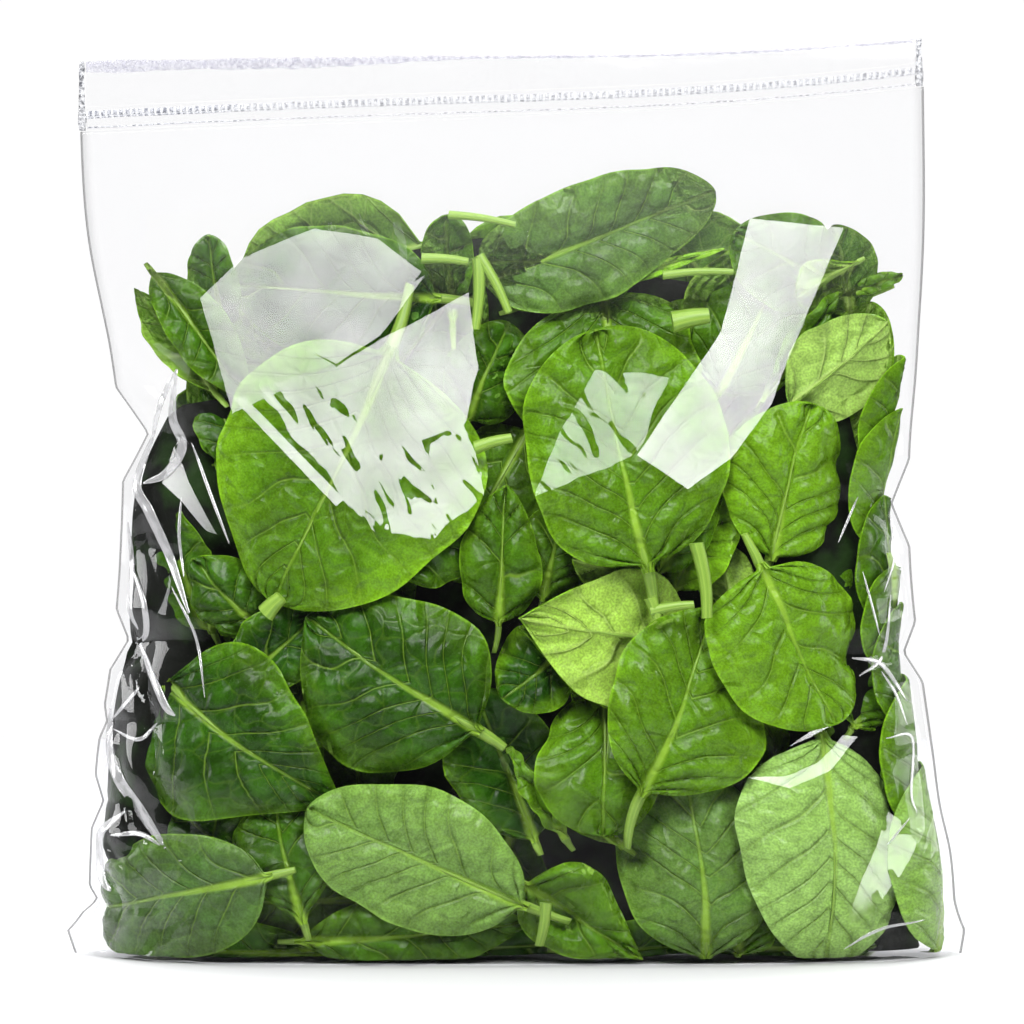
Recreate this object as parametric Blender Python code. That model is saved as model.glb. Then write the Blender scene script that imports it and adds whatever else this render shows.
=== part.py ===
"""A clear zipper bag packed with baby spinach and standing on its own filled base.

Metres, +Z up. The front faces -Y, the width runs along X, and the origin is the
middle of the base. The packed bag is one closed solid. The two interlocking zipper
strips, their crushed ends and the two lips above them are solids of their own, kept
a hair apart.
"""

import math

import bmesh
import bpy

GAP = 0.0003

# The packed bag: height and half width of each side seam, from the base up.
ZIP_LEFT_X = -0.1290
ZIP_RIGHT_X = 0.1240
ZIP_LEFT_HEIGHT = 0.2505
ZIP_RISE = 0.0135
ZIP_SAG = 0.0024
LEFT_SEAM = (
    (0.000, 0.1270),
    (0.030, 0.1262),
    (0.060, 0.1240),
    (0.090, 0.1195),
    (0.120, 0.1170),
    (0.150, 0.1162),
    (0.180, 0.1195),
    (0.215, 0.1262),
    (0.265, 0.1290),
)
RIGHT_SEAM = (
    (0.000, 0.1310),
    (0.030, 0.1300),
    (0.060, 0.1265),
    (0.090, 0.1235),
    (0.120, 0.1205),
    (0.150, 0.1203),
    (0.180, 0.1225),
    (0.215, 0.1243),
    (0.265, 0.1240),
)

# Where the film is pinched in at a side seam: height, depth and half its span.
LEFT_PINCHES = (
    (0.156, 0.0080, 0.014),
    (0.0945, 0.0045, 0.009),
    (0.070, 0.0015, 0.005),
    (0.046, 0.0030, 0.008),
)
RIGHT_PINCHES = (
    (0.136, 0.0050, 0.013),
    (0.091, 0.0045, 0.009),
)
PINCH_REACH = 0.030
PINCH_GROOVE_SHARE = 0.75
PINCH_FALL = 0.30

# Half depth of the packed bag, by share of the height.
HALF_DEPTH = (
    (0.00, 0.0310),
    (0.03, 0.0355),
    (0.10, 0.0378),
    (0.22, 0.0382),
    (0.40, 0.0352),
    (0.55, 0.0300),
    (0.70, 0.0212),
    (0.82, 0.0125),
    (0.92, 0.0050),
    (1.00, 0.0011),
)
BASE_PLAN_POWER = 4.4
TOP_PLAN_POWER = 2.2
BASE_PLAN_ROUNDING = 0.55
TOP_PLAN_ROUNDING = 1.0

# The folded corners that stick out at floor level, and the welded edge of the film.
EAR_REACH = 0.0085
EAR_TIP_HEIGHT = 0.004
EAR_HEIGHT = 0.018
SEAM_WIDTH = 0.003
SEAM_HALF_THICKNESS = 0.0005

# The film's gentle swells over the leaves: height of swell, width, height, phase.
SWELLS = (
    (0.0016, 0.064, 0.150, 0.4),
    (0.0012, -0.046, 0.074, 2.1),
    (0.0009, 0.031, -0.052, 4.0),
)

LEVELS = 46
COLUMNS = 34
BASE_CROWDING = 1.25

# The zipper: two strips that interlock, the front one with a channel, the back a rib.
STRIP_HALF_HEIGHT = 0.0034
STRIP_PLATE = 0.0006
STRIP_TAPER = 0.00012
STRIP_FACE_Y = 0.0009
JAW_INNER = 0.00095
JAW_OUTER = 0.0017
JAW_REACH = 0.0005
CHANNEL_DEEPER = 0.00008
RIB_HALF_HEIGHT = 0.0006
RIB_REACH = 0.0005
STRIP_STATIONS = 13

# The crushed, welded ends of the zipper.
END_WIDTH = 0.0026
END_HALF_THICKNESS = 0.0008
END_BELOW = 0.0034

# The lips above the zipper.
LIP_LEFT_HEIGHT = 0.0172
LIP_RIGHT_HEIGHT = 0.0108
LIP_THICKNESS = 0.0005
LIP_ROOT_Y = 0.0004
LIP_PARTING = 0.0007
LIP_LEAN = 0.0030
LIP_RIPPLE = 0.0009
LIP_RIPPLE_LENGTH = 0.105
LIP_ROWS = 4
LIP_STATIONS = 33

FILM_COLOUR = (0.36, 0.55, 0.24)
ZIP_COLOUR = (0.86, 0.87, 0.90)
LIP_COLOUR = (0.92, 0.93, 0.95)


def along(points, at):
    """Value at a place on a smooth line through (place, value) points."""
    if at <= points[0][0]:
        return points[0][1]
    for before, after in zip(points, points[1:]):
        if at <= after[0]:
            index = points.index(before)
            first = points[max(index - 1, 0)]
            last = points[min(index + 2, len(points) - 1)]
            span = after[0] - before[0]
            share = (at - before[0]) / span
            start_slope = (after[1] - first[1]) / (after[0] - first[0]) * span
            end_slope = (last[1] - before[1]) / (last[0] - before[0]) * span
            change = before[1] - after[1]
            cubic = 2 * change + start_slope + end_slope
            square = -3 * change - 2 * start_slope - end_slope
            return ((cubic * share + square) * share + start_slope) * share + before[1]
    return points[-1][1]


def mix(low, high, share):
    return low + (high - low) * share


def zip_share(x):
    """How far along the zipper x is, 0 at its left end and 1 at its right."""
    return (x - ZIP_LEFT_X) / (ZIP_RIGHT_X - ZIP_LEFT_X)


def zip_height(x):
    """Height of the zipper's middle line, which climbs towards the right."""
    share = zip_share(x)
    sag = ZIP_SAG * math.sin(math.pi * share * share)
    return ZIP_LEFT_HEIGHT + ZIP_RISE * share - sag


def mouth_height(x):
    """Height at which the filled bag ends, just under the zipper strips."""
    return zip_height(x) - STRIP_HALF_HEIGHT - GAP


def pinch_share(pinch, height):
    """How strongly a pinch is felt at a height, 1 at its middle."""
    place, _, span = pinch
    return max(0.0, 1.0 - abs(height - place) / span)


def ear_reach(height):
    """How far the folded corner stands out past the packed side at a height."""
    if height < EAR_TIP_HEIGHT:
        return EAR_REACH * mix(0.6, 1.0, height / EAR_TIP_HEIGHT)
    share = min(1.0, (height - EAR_TIP_HEIGHT) / (EAR_HEIGHT - EAR_TIP_HEIGHT))
    return EAR_REACH * (1.0 - share) ** 1.5


def side(height, right):
    """Half width of the packed side and of the film's outer edge at a height."""
    seam = RIGHT_SEAM if right else LEFT_SEAM
    pinches = RIGHT_PINCHES if right else LEFT_PINCHES
    edge = along(seam, height)
    edge -= sum(pinch[1] * pinch_share(pinch, height) for pinch in pinches)
    packed = edge - SEAM_WIDTH
    return packed, edge + ear_reach(height)


def groove(x, height, edge, right):
    """How deep the creases that run in from the pinches cut at a place."""
    pinches = RIGHT_PINCHES if right else LEFT_PINCHES
    inward = max(0.0, edge - abs(x))
    depth = 0.0
    for place, deep, span in pinches:
        line = place - PINCH_FALL * inward
        across = (height - line) / (span * 0.5)
        reach = math.exp(-inward / PINCH_REACH)
        depth += PINCH_GROOVE_SHARE * deep * reach * math.exp(-across * across)
    return depth


def swell(x, height, front):
    """Height of the film's gentle swells over the leaves."""
    turn = 1.0 if front else -1.0
    total = 0.0
    for rise, width, tall, phase in SWELLS:
        wave = 2 * math.pi * (turn * x / width + height / tall)
        total += rise * math.sin(wave + phase * turn)
    return total


def half_depth(x, height, share, packed, edge, front):
    """Distance of the film from the bag's middle plane at a place."""
    power = mix(BASE_PLAN_POWER, TOP_PLAN_POWER, share)
    rounding = mix(BASE_PLAN_ROUNDING, TOP_PLAN_ROUNDING, share)
    across = min(1.0, abs(x) / packed)
    plan = (1.0 - across**power) ** rounding
    calm = plan * math.sin(math.pi * min(1.0, share * 1.02)) ** 0.5
    depth = along(HALF_DEPTH, share) * plan
    depth += swell(x, height, front) * calm
    depth -= groove(x, height, edge, x > 0) * plan**0.5
    return max(depth, SEAM_HALF_THICKNESS)


def bag_ring(share):
    """The bag's outline at a share of its height: front left to right, then back."""
    front = []
    back = []
    for column in range(COLUMNS + 1):
        place = math.sin(math.pi * (column / COLUMNS - 0.5))
        right = place > 0
        height = share * mouth_height(mix(0.0, 0.125, place))
        packed, edge = side(height, right)
        x = place * edge
        height = share * mouth_height(x)
        ends = column in (0, COLUMNS)
        near = 0.0 if ends else half_depth(x, height, share, packed, edge, True)
        far = 0.0 if ends else half_depth(x, height, share, packed, edge, False)
        front.append((x, -near, height))
        back.append((x, far, height))
    return front, back


def new_object(name, bm, material):
    """The mesh as an object with its own material, shaded smooth but for its edges."""
    bmesh.ops.recalc_face_normals(bm, faces=bm.faces)
    mesh = bpy.data.meshes.new(name)
    bm.to_mesh(mesh)
    bm.free()
    mesh.shade_smooth()
    mesh.set_sharp_from_angle(angle=math.radians(40))
    mesh.materials.append(material)
    obj = bpy.data.objects.new(name, mesh)
    bpy.context.scene.collection.objects.link(obj)
    return obj


def new_material(name, colour, roughness):
    material = bpy.data.materials.new(name)
    material.use_nodes = True
    shader = material.node_tree.nodes["Principled BSDF"]
    shader.inputs["Base Color"].default_value = (*colour, 1.0)
    shader.inputs["Roughness"].default_value = roughness
    shader.inputs["Metallic"].default_value = 0.0
    return material


def build_bag():
    """The packed bag: rings from the flat base to the closed mouth, both ends shut."""
    bm = bmesh.new()
    rings = []
    for level in range(LEVELS + 1):
        share = (level / LEVELS) ** BASE_CROWDING
        front, back = bag_ring(share)
        front = [bm.verts.new(point) for point in front]
        inner_back = [bm.verts.new(point) for point in back[1:-1]]
        rings.append((front, [front[0], *inner_back, front[-1]]))
    for (front, back), (front_above, back_above) in zip(rings, rings[1:]):
        for i in range(COLUMNS):
            bm.faces.new((front[i], front[i + 1], front_above[i + 1], front_above[i]))
            bm.faces.new((back[i + 1], back[i], back_above[i], back_above[i + 1]))
    for front, back in (rings[0], rings[-1]):
        for i in range(COLUMNS):
            corners = (front[i], front[i + 1], back[i + 1], back[i])
            bm.faces.new(dict.fromkeys(corners))
    bmesh.ops.triangulate(bm, faces=bm.faces)
    return new_object("bag_body", bm, new_material("packed_film", FILM_COLOUR, 0.2))


def loft(name, rings, material):
    """A solid through rings of the same number of points, closed at both ends."""
    bm = bmesh.new()
    made = [[bm.verts.new(point) for point in ring] for ring in rings]
    for ring, following in zip(made, made[1:]):
        count = len(ring)
        for i in range(count):
            j = (i + 1) % count
            bm.faces.new((ring[i], ring[j], following[j], following[i]))
    bm.faces.new(made[0])
    bm.faces.new(made[-1])
    bmesh.ops.triangulate(bm, faces=bm.faces)
    return new_object(name, bm, material)


def strip_stations(count):
    """Places along the zipper between its two crushed ends."""
    left = ZIP_LEFT_X + END_WIDTH + GAP
    right = ZIP_RIGHT_X - END_WIDTH - GAP
    return [mix(left, right, i / (count - 1)) for i in range(count)]


def build_front_strip():
    """The zipper strip at the front: a plate with two jaws that make its channel."""
    face = -STRIP_FACE_Y
    back = face - STRIP_PLATE
    profile = (
        (back, -STRIP_HALF_HEIGHT),
        (face - STRIP_TAPER, -STRIP_HALF_HEIGHT),
        (face, -JAW_OUTER),
        (JAW_REACH, -JAW_OUTER),
        (JAW_REACH, -JAW_INNER),
        (face - CHANNEL_DEEPER, -JAW_INNER),
        (face - CHANNEL_DEEPER, JAW_INNER),
        (JAW_REACH, JAW_INNER),
        (JAW_REACH, JAW_OUTER),
        (face, JAW_OUTER),
        (face - STRIP_TAPER, STRIP_HALF_HEIGHT),
        (back, STRIP_HALF_HEIGHT),
    )
    rings = [
        [(x, y, zip_height(x) + up) for y, up in profile]
        for x in strip_stations(STRIP_STATIONS)
    ]
    return loft("zip_channel_strip", rings, new_material("zip_channel", ZIP_COLOUR, 0.3))


def build_back_strip():
    """The zipper strip at the back: a plate with the rib that clicks into the channel."""
    face = STRIP_FACE_Y
    back = face + STRIP_PLATE
    profile = (
        (back, -STRIP_HALF_HEIGHT),
        (back, STRIP_HALF_HEIGHT),
        (face + STRIP_TAPER, STRIP_HALF_HEIGHT),
        (face, RIB_HALF_HEIGHT),
        (-RIB_REACH, RIB_HALF_HEIGHT),
        (-RIB_REACH, -RIB_HALF_HEIGHT),
        (face, -RIB_HALF_HEIGHT),
        (face + STRIP_TAPER, -STRIP_HALF_HEIGHT),
    )
    rings = [
        [(x, y, zip_height(x) + up) for y, up in profile]
        for x in strip_stations(STRIP_STATIONS)
    ]
    return loft("zip_rib_strip", rings, new_material("zip_rib", ZIP_COLOUR, 0.3))


def lip_top(x):
    """Height of the lips' top edge, which comes closer to the zipper at the right."""
    height = mix(LIP_LEFT_HEIGHT, LIP_RIGHT_HEIGHT, zip_share(x))
    return zip_height(x) + height


def lip_sway(x, share):
    """How far the lips lean and ripple out of the middle plane at a height share."""
    ripple = LIP_RIPPLE * math.sin(2 * math.pi * x / LIP_RIPPLE_LENGTH)
    lean = LIP_LEAN * max(0.0, zip_share(x) - 0.5) * 2
    return (ripple + lean) * share * share


def build_lip(name, front):
    """One lip: a thin standing panel over the zipper, parted a little at the top."""
    turn = -1.0 if front else 1.0
    rings = []
    for x in strip_stations(LIP_STATIONS):
        low = zip_height(x) + STRIP_HALF_HEIGHT + GAP
        inner = []
        outer = []
        for row in range(LIP_ROWS + 1):
            share = row / LIP_ROWS
            z = mix(low, lip_top(x), share)
            y = turn * (LIP_ROOT_Y + LIP_PARTING * share) + lip_sway(x, share)
            inner.append((x, y, z))
            outer.append((x, y + turn * LIP_THICKNESS, z))
        rings.append(inner + outer[::-1])
    return loft(name, rings, new_material(name + "_film", LIP_COLOUR, 0.25))


def build_end(name, left):
    """A crushed end of the zipper, a thin upright tab from below it to the top edge."""
    edge = ZIP_LEFT_X if left else ZIP_RIGHT_X
    inside = edge + (END_WIDTH if left else -END_WIDTH)
    rings = []
    for x in (edge, inside):
        low = zip_height(x) - END_BELOW
        high = lip_top(x)
        middle = mix(low, high, 0.5)
        sway = lip_sway(x, 1.0)
        rings.append(
            [
                (x, -END_HALF_THICKNESS, low),
                (x, END_HALF_THICKNESS, low),
                (x, END_HALF_THICKNESS + sway * 0.25, middle),
                (x, END_HALF_THICKNESS + sway, high),
                (x, -END_HALF_THICKNESS + sway, high),
                (x, -END_HALF_THICKNESS + sway * 0.25, middle),
            ]
        )
    return loft(name, rings, new_material(name + "_weld", ZIP_COLOUR, 0.3))


def centre_on_origin(objects):
    """Moves every mesh so that the whole stands on z = 0, centred over the origin."""
    points = [vertex.co.copy() for obj in objects for vertex in obj.data.vertices]
    lows = [min(point[i] for point in points) for i in range(3)]
    highs = [max(point[i] for point in points) for i in range(3)]
    shift = (-(lows[0] + highs[0]) / 2, -(lows[1] + highs[1]) / 2, -lows[2])
    for obj in objects:
        obj.location = shift


def main():
    for obj in list(bpy.data.objects):
        bpy.data.objects.remove(obj, do_unlink=True)
    centre_on_origin(
        [
            build_bag(),
            build_front_strip(),
            build_back_strip(),
            build_lip("lip_front", True),
            build_lip("lip_back", False),
            build_end("zip_end_left", True),
            build_end("zip_end_right", False),
        ]
    )


main()
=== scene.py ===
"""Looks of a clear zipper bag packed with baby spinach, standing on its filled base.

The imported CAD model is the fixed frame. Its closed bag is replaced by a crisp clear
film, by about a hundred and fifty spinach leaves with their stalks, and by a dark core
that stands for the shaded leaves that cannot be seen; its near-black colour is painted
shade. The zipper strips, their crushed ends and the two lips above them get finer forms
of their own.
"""

import itertools
import logging
import math
import random
from dataclasses import dataclass, field
from enum import Enum
from functools import partial
from typing import Any, Callable, Iterator, Sequence

import bpy
import numpy as np
from bpy.types import Camera, Light, Material, NodeSocket, NodeTree, Object
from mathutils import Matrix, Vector


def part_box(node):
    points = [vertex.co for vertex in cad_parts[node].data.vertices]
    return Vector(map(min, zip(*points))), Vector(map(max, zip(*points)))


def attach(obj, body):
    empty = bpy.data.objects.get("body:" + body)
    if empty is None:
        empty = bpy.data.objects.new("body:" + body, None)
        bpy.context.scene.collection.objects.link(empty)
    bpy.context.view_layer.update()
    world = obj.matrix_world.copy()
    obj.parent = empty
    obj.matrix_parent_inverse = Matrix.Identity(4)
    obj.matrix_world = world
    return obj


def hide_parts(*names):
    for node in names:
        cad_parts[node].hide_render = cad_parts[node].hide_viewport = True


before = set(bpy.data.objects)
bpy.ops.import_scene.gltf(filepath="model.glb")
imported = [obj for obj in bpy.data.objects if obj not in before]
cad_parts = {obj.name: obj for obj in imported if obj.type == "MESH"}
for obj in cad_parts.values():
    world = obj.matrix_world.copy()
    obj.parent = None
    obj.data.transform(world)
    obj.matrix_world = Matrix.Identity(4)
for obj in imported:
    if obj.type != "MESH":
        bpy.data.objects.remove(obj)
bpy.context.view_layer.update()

LOG = logging.getLogger("spinach_bag")
MM = 0.001
BODY = "root"
CAMERA_ELEVATION = 2.5
KEY_AZIMUTH = 25.0
KEY_ELEVATION = 48.0

EASED = {"interpolation_type": "SMOOTHSTEP"}

Array = np.ndarray
Adder = Callable[..., NodeSocket]


def linear(hex_colour: str) -> tuple[float, float, float, float]:
    """Turns an sRGB hex colour into the linear colour that sockets take.

    Args:
        hex_colour: Six hex digits, such as "3f6b1e".

    Returns:
        Red, green, blue and an alpha of one.
    """
    channels = [int(hex_colour[i : i + 2], 16) / 255 for i in (0, 2, 4)]
    turned = [c / 12.92 if c <= 0.04045 else ((c + 0.055) / 1.055) ** 2.4 for c in channels]
    return (*turned, 1.0)


def through(points: Sequence[tuple[float, float]], at: Array) -> Array:
    """Values on a smooth line through (place, value) points.

    Args:
        points: The points, in order of place.
        at: The places to read.

    Returns:
        One value for each place, held level past both ends.
    """
    places = np.array([p[0] for p in points])
    values = np.array([p[1] for p in points])
    at = np.clip(np.asarray(at, float), places[0], places[-1])
    index = np.clip(np.searchsorted(places, at, side="right") - 1, 0, len(places) - 2)
    slopes = np.gradient(values, places)
    span = places[index + 1] - places[index]
    share = (at - places[index]) / span
    start = slopes[index] * span
    end = slopes[index + 1] * span
    change = values[index] - values[index + 1]
    cubic = 2 * change + start + end
    square = -3 * change - 2 * start - end
    return ((cubic * share + square) * share + start) * share + values[index]


def ramp(value: Array, low: float, high: float) -> Array:
    """Eases from 0 at low to 1 at high.

    Args:
        value: The values to turn into shares.
        low: Where the share leaves 0.
        high: Where the share reaches 1.

    Returns:
        Shares from 0 to 1.
    """
    share = np.clip((value - low) / (high - low), 0.0, 1.0)
    return share * share * (3 - 2 * share)


def select_only(*objects: Object) -> None:
    """Leaves only some objects selected, for operators to act on, and the first one active."""
    bpy.ops.object.select_all(action="DESELECT")
    for obj in objects:
        obj.select_set(True)
    bpy.context.view_layer.objects.active = objects[0]


def points_of(obj: Object) -> Array:
    """The places of a mesh object's vertices."""
    count = len(obj.data.vertices)
    flat = np.empty(count * 3)
    obj.data.vertices.foreach_get("co", flat)
    return flat.reshape(count, 3)


def set_points(obj: Object, points: Array) -> None:
    """Moves a mesh object's vertices to new places."""
    obj.data.vertices.foreach_set("co", np.ascontiguousarray(points, float).ravel())
    obj.data.update()


def new_grid(name: str, across: int, along: int) -> Object:
    """Adds a flat grid from -1 to 1 both ways, ready to be shaped.

    Args:
        name: The object's name.
        across: Faces along X.
        along: Faces along Y.

    Returns:
        The new grid.
    """
    bpy.ops.object.select_all(action="DESELECT")
    bpy.ops.mesh.primitive_grid_add(x_subdivisions=across, y_subdivisions=along, size=2.0)
    obj = bpy.context.object
    obj.name = name
    obj.data.name = name
    return obj


def edit(obj: Object, *steps: Callable[[], Any]) -> None:
    """Runs edit mode operators on all of one object.

    Args:
        obj: The object to edit.
        steps: The operators, each as a call without arguments.
    """
    select_only(obj)
    bpy.ops.object.mode_set(mode="EDIT")
    bpy.ops.mesh.select_all(action="SELECT")
    for step in steps:
        step()
    bpy.ops.object.mode_set(mode="OBJECT")


def weld(obj: Object, distance: float = 1e-6) -> None:
    """Merges points that lie together and turns the faces outwards."""
    edit(
        obj, lambda: bpy.ops.mesh.remove_doubles(threshold=distance),
        lambda: bpy.ops.mesh.normals_make_consistent(inside=False),
    )


def close_ends(tube: Object) -> None:
    """Joins a rolled grid's seam, caps its two ends and turns its faces outwards."""
    edit(
        tube, lambda: bpy.ops.mesh.remove_doubles(threshold=1e-6),
        lambda: bpy.ops.mesh.fill_holes(sides=0),
        lambda: bpy.ops.mesh.normals_make_consistent(inside=False),
    )


def write_map(obj: Object, name: str, first: Array, second: Array) -> None:
    """Stores two numbers of each point as a map that a material reads."""
    mesh = obj.data
    loops = np.empty(len(mesh.loops), int)
    mesh.loops.foreach_get("vertex_index", loops)
    both = np.column_stack([first, second])[loops]
    mesh.uv_layers[name].data.foreach_set("uv", np.ascontiguousarray(both).ravel())


def apply_modifier(obj: Object, kind: str, **settings: Any) -> None:
    """Adds a modifier with its settings and applies it at once.

    Args:
        obj: The object to finish.
        kind: The modifier's type.
        settings: Its properties.
    """
    select_only(obj)
    modifier = obj.modifiers.new(kind.title(), kind)
    for name, value in settings.items():
        setattr(modifier, name, value)
    bpy.ops.object.modifier_apply(modifier=modifier.name)


def join(parts: Sequence[Object], name: str) -> Object:
    """Joins meshes into one object.

    Args:
        parts: The objects to join, which become one.
        name: The name of the result.

    Returns:
        The joined object.
    """
    select_only(*parts)
    if len(parts) > 1:
        bpy.ops.object.join()
    joined = bpy.context.view_layer.objects.active
    joined.name = name
    joined.data.name = name
    return joined


def smooth(obj: Object, angle: float = 50.0) -> None:
    """Shades an object smooth, with hard edges past an angle in degrees."""
    select_only(obj)
    bpy.ops.object.shade_smooth_by_angle(angle=math.radians(angle))


def keep(obj: Object, slot: str, *nodes: str) -> None:
    """Hands a finished piece to the frame.

    Args:
        obj: The piece.
        slot: A material slot's name; not used.
        nodes: The CAD nodes that it stands for.
    """
    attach(obj, BODY)
    if nodes:
        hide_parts(*nodes)
    triangles = sum(len(face.vertices) - 2 for face in obj.data.polygons)
    LOG.info("%s: %d triangles", obj.name, triangles)


def add_node(
    tree: NodeTree, kind: str, inputs: dict | tuple = (), out: int | str = 0, **settings: Any,
) -> NodeSocket:
    """Adds a shader node with its settings, socket values and links.

    Args:
        tree: The node tree to add to.
        kind: The node's type without its "ShaderNode".
        inputs: Values, or the sockets that feed them, in order or under socket names or numbers.
        out: Number or name of the output that is wanted.
        settings: The node's own properties.

    Returns:
        The socket of that output, which knows its node.
    """
    node = tree.nodes.new("ShaderNode" + kind)
    for name, value in settings.items():
        setattr(node, name, value)
    for key, value in inputs.items() if isinstance(inputs, dict) else enumerate(inputs):
        if isinstance(value, NodeSocket):
            tree.links.new(value, node.inputs[key])
        else:
            node.inputs[key].default_value = value
    return node.outputs[out]


def new_material(name: str) -> tuple[Material, Adder]:
    """A material with only its output node left.

    Args:
        name: The material's name.

    Returns:
        The material and add_node for its own tree.
    """
    material = bpy.data.materials.new(name)
    material.use_nodes = True
    tree = material.node_tree
    for node in list(tree.nodes):
        if node.type != "OUTPUT_MATERIAL":
            tree.nodes.remove(node)
    return material, partial(add_node, tree)


def finish_material(material: Material, shader: NodeSocket) -> Material:
    """Links a shader to the material's output and gives the material back."""
    tree = material.node_tree
    tree.links.new(shader, tree.nodes["Material Output"].inputs["Surface"])
    return material


class Noise:
    """Smooth seeded noise over a plane, from about -1 to 1."""

    SIZE = 64

    def __init__(self, seed: int) -> None:
        """Draws the noise's lattice.

        Args:
            seed: Number that the draws start from.
        """
        rng = np.random.default_rng(seed)
        angle = rng.uniform(0, 2 * np.pi, (self.SIZE, self.SIZE))
        self.slopes = np.stack([np.cos(angle), np.sin(angle)], axis=-1)

    def at(self, u: Array, v: Array) -> Array:
        """Reads the noise; it changes over distances of about one.

        Args:
            u: Places along the first direction.
            v: Places along the second direction.

        Returns:
            One value for each place.
        """
        iu = np.floor(u).astype(int)
        iv = np.floor(v).astype(int)
        fu = u - iu
        fv = v - iv
        corners = []
        for du in (0, 1):
            for dv in (0, 1):
                slope = self.slopes[(iu + du) % self.SIZE, (iv + dv) % self.SIZE]
                corners.append(slope[..., 0] * (fu - du) + slope[..., 1] * (fv - dv))
        su = fu * fu * fu * (fu * (fu * 6 - 15) + 10)
        sv = fv * fv * fv * (fv * (fv * 6 - 15) + 10)
        low = corners[0] * (1 - sv) + corners[1] * sv
        high = corners[2] * (1 - sv) + corners[3] * sv
        return 1.5 * (low * (1 - su) + high * su)

    def ridges(self, u: Array, v: Array) -> Array:
        """Sharp crests from 0 to 1 where the noise crosses zero."""
        return 1 - np.clip(np.abs(self.at(u, v)) * 2.2, 0, 1)


@dataclass(frozen=True)
class Pinch:
    """A place where a side seam is drawn in."""

    height: float
    depth: float
    span: float


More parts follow.
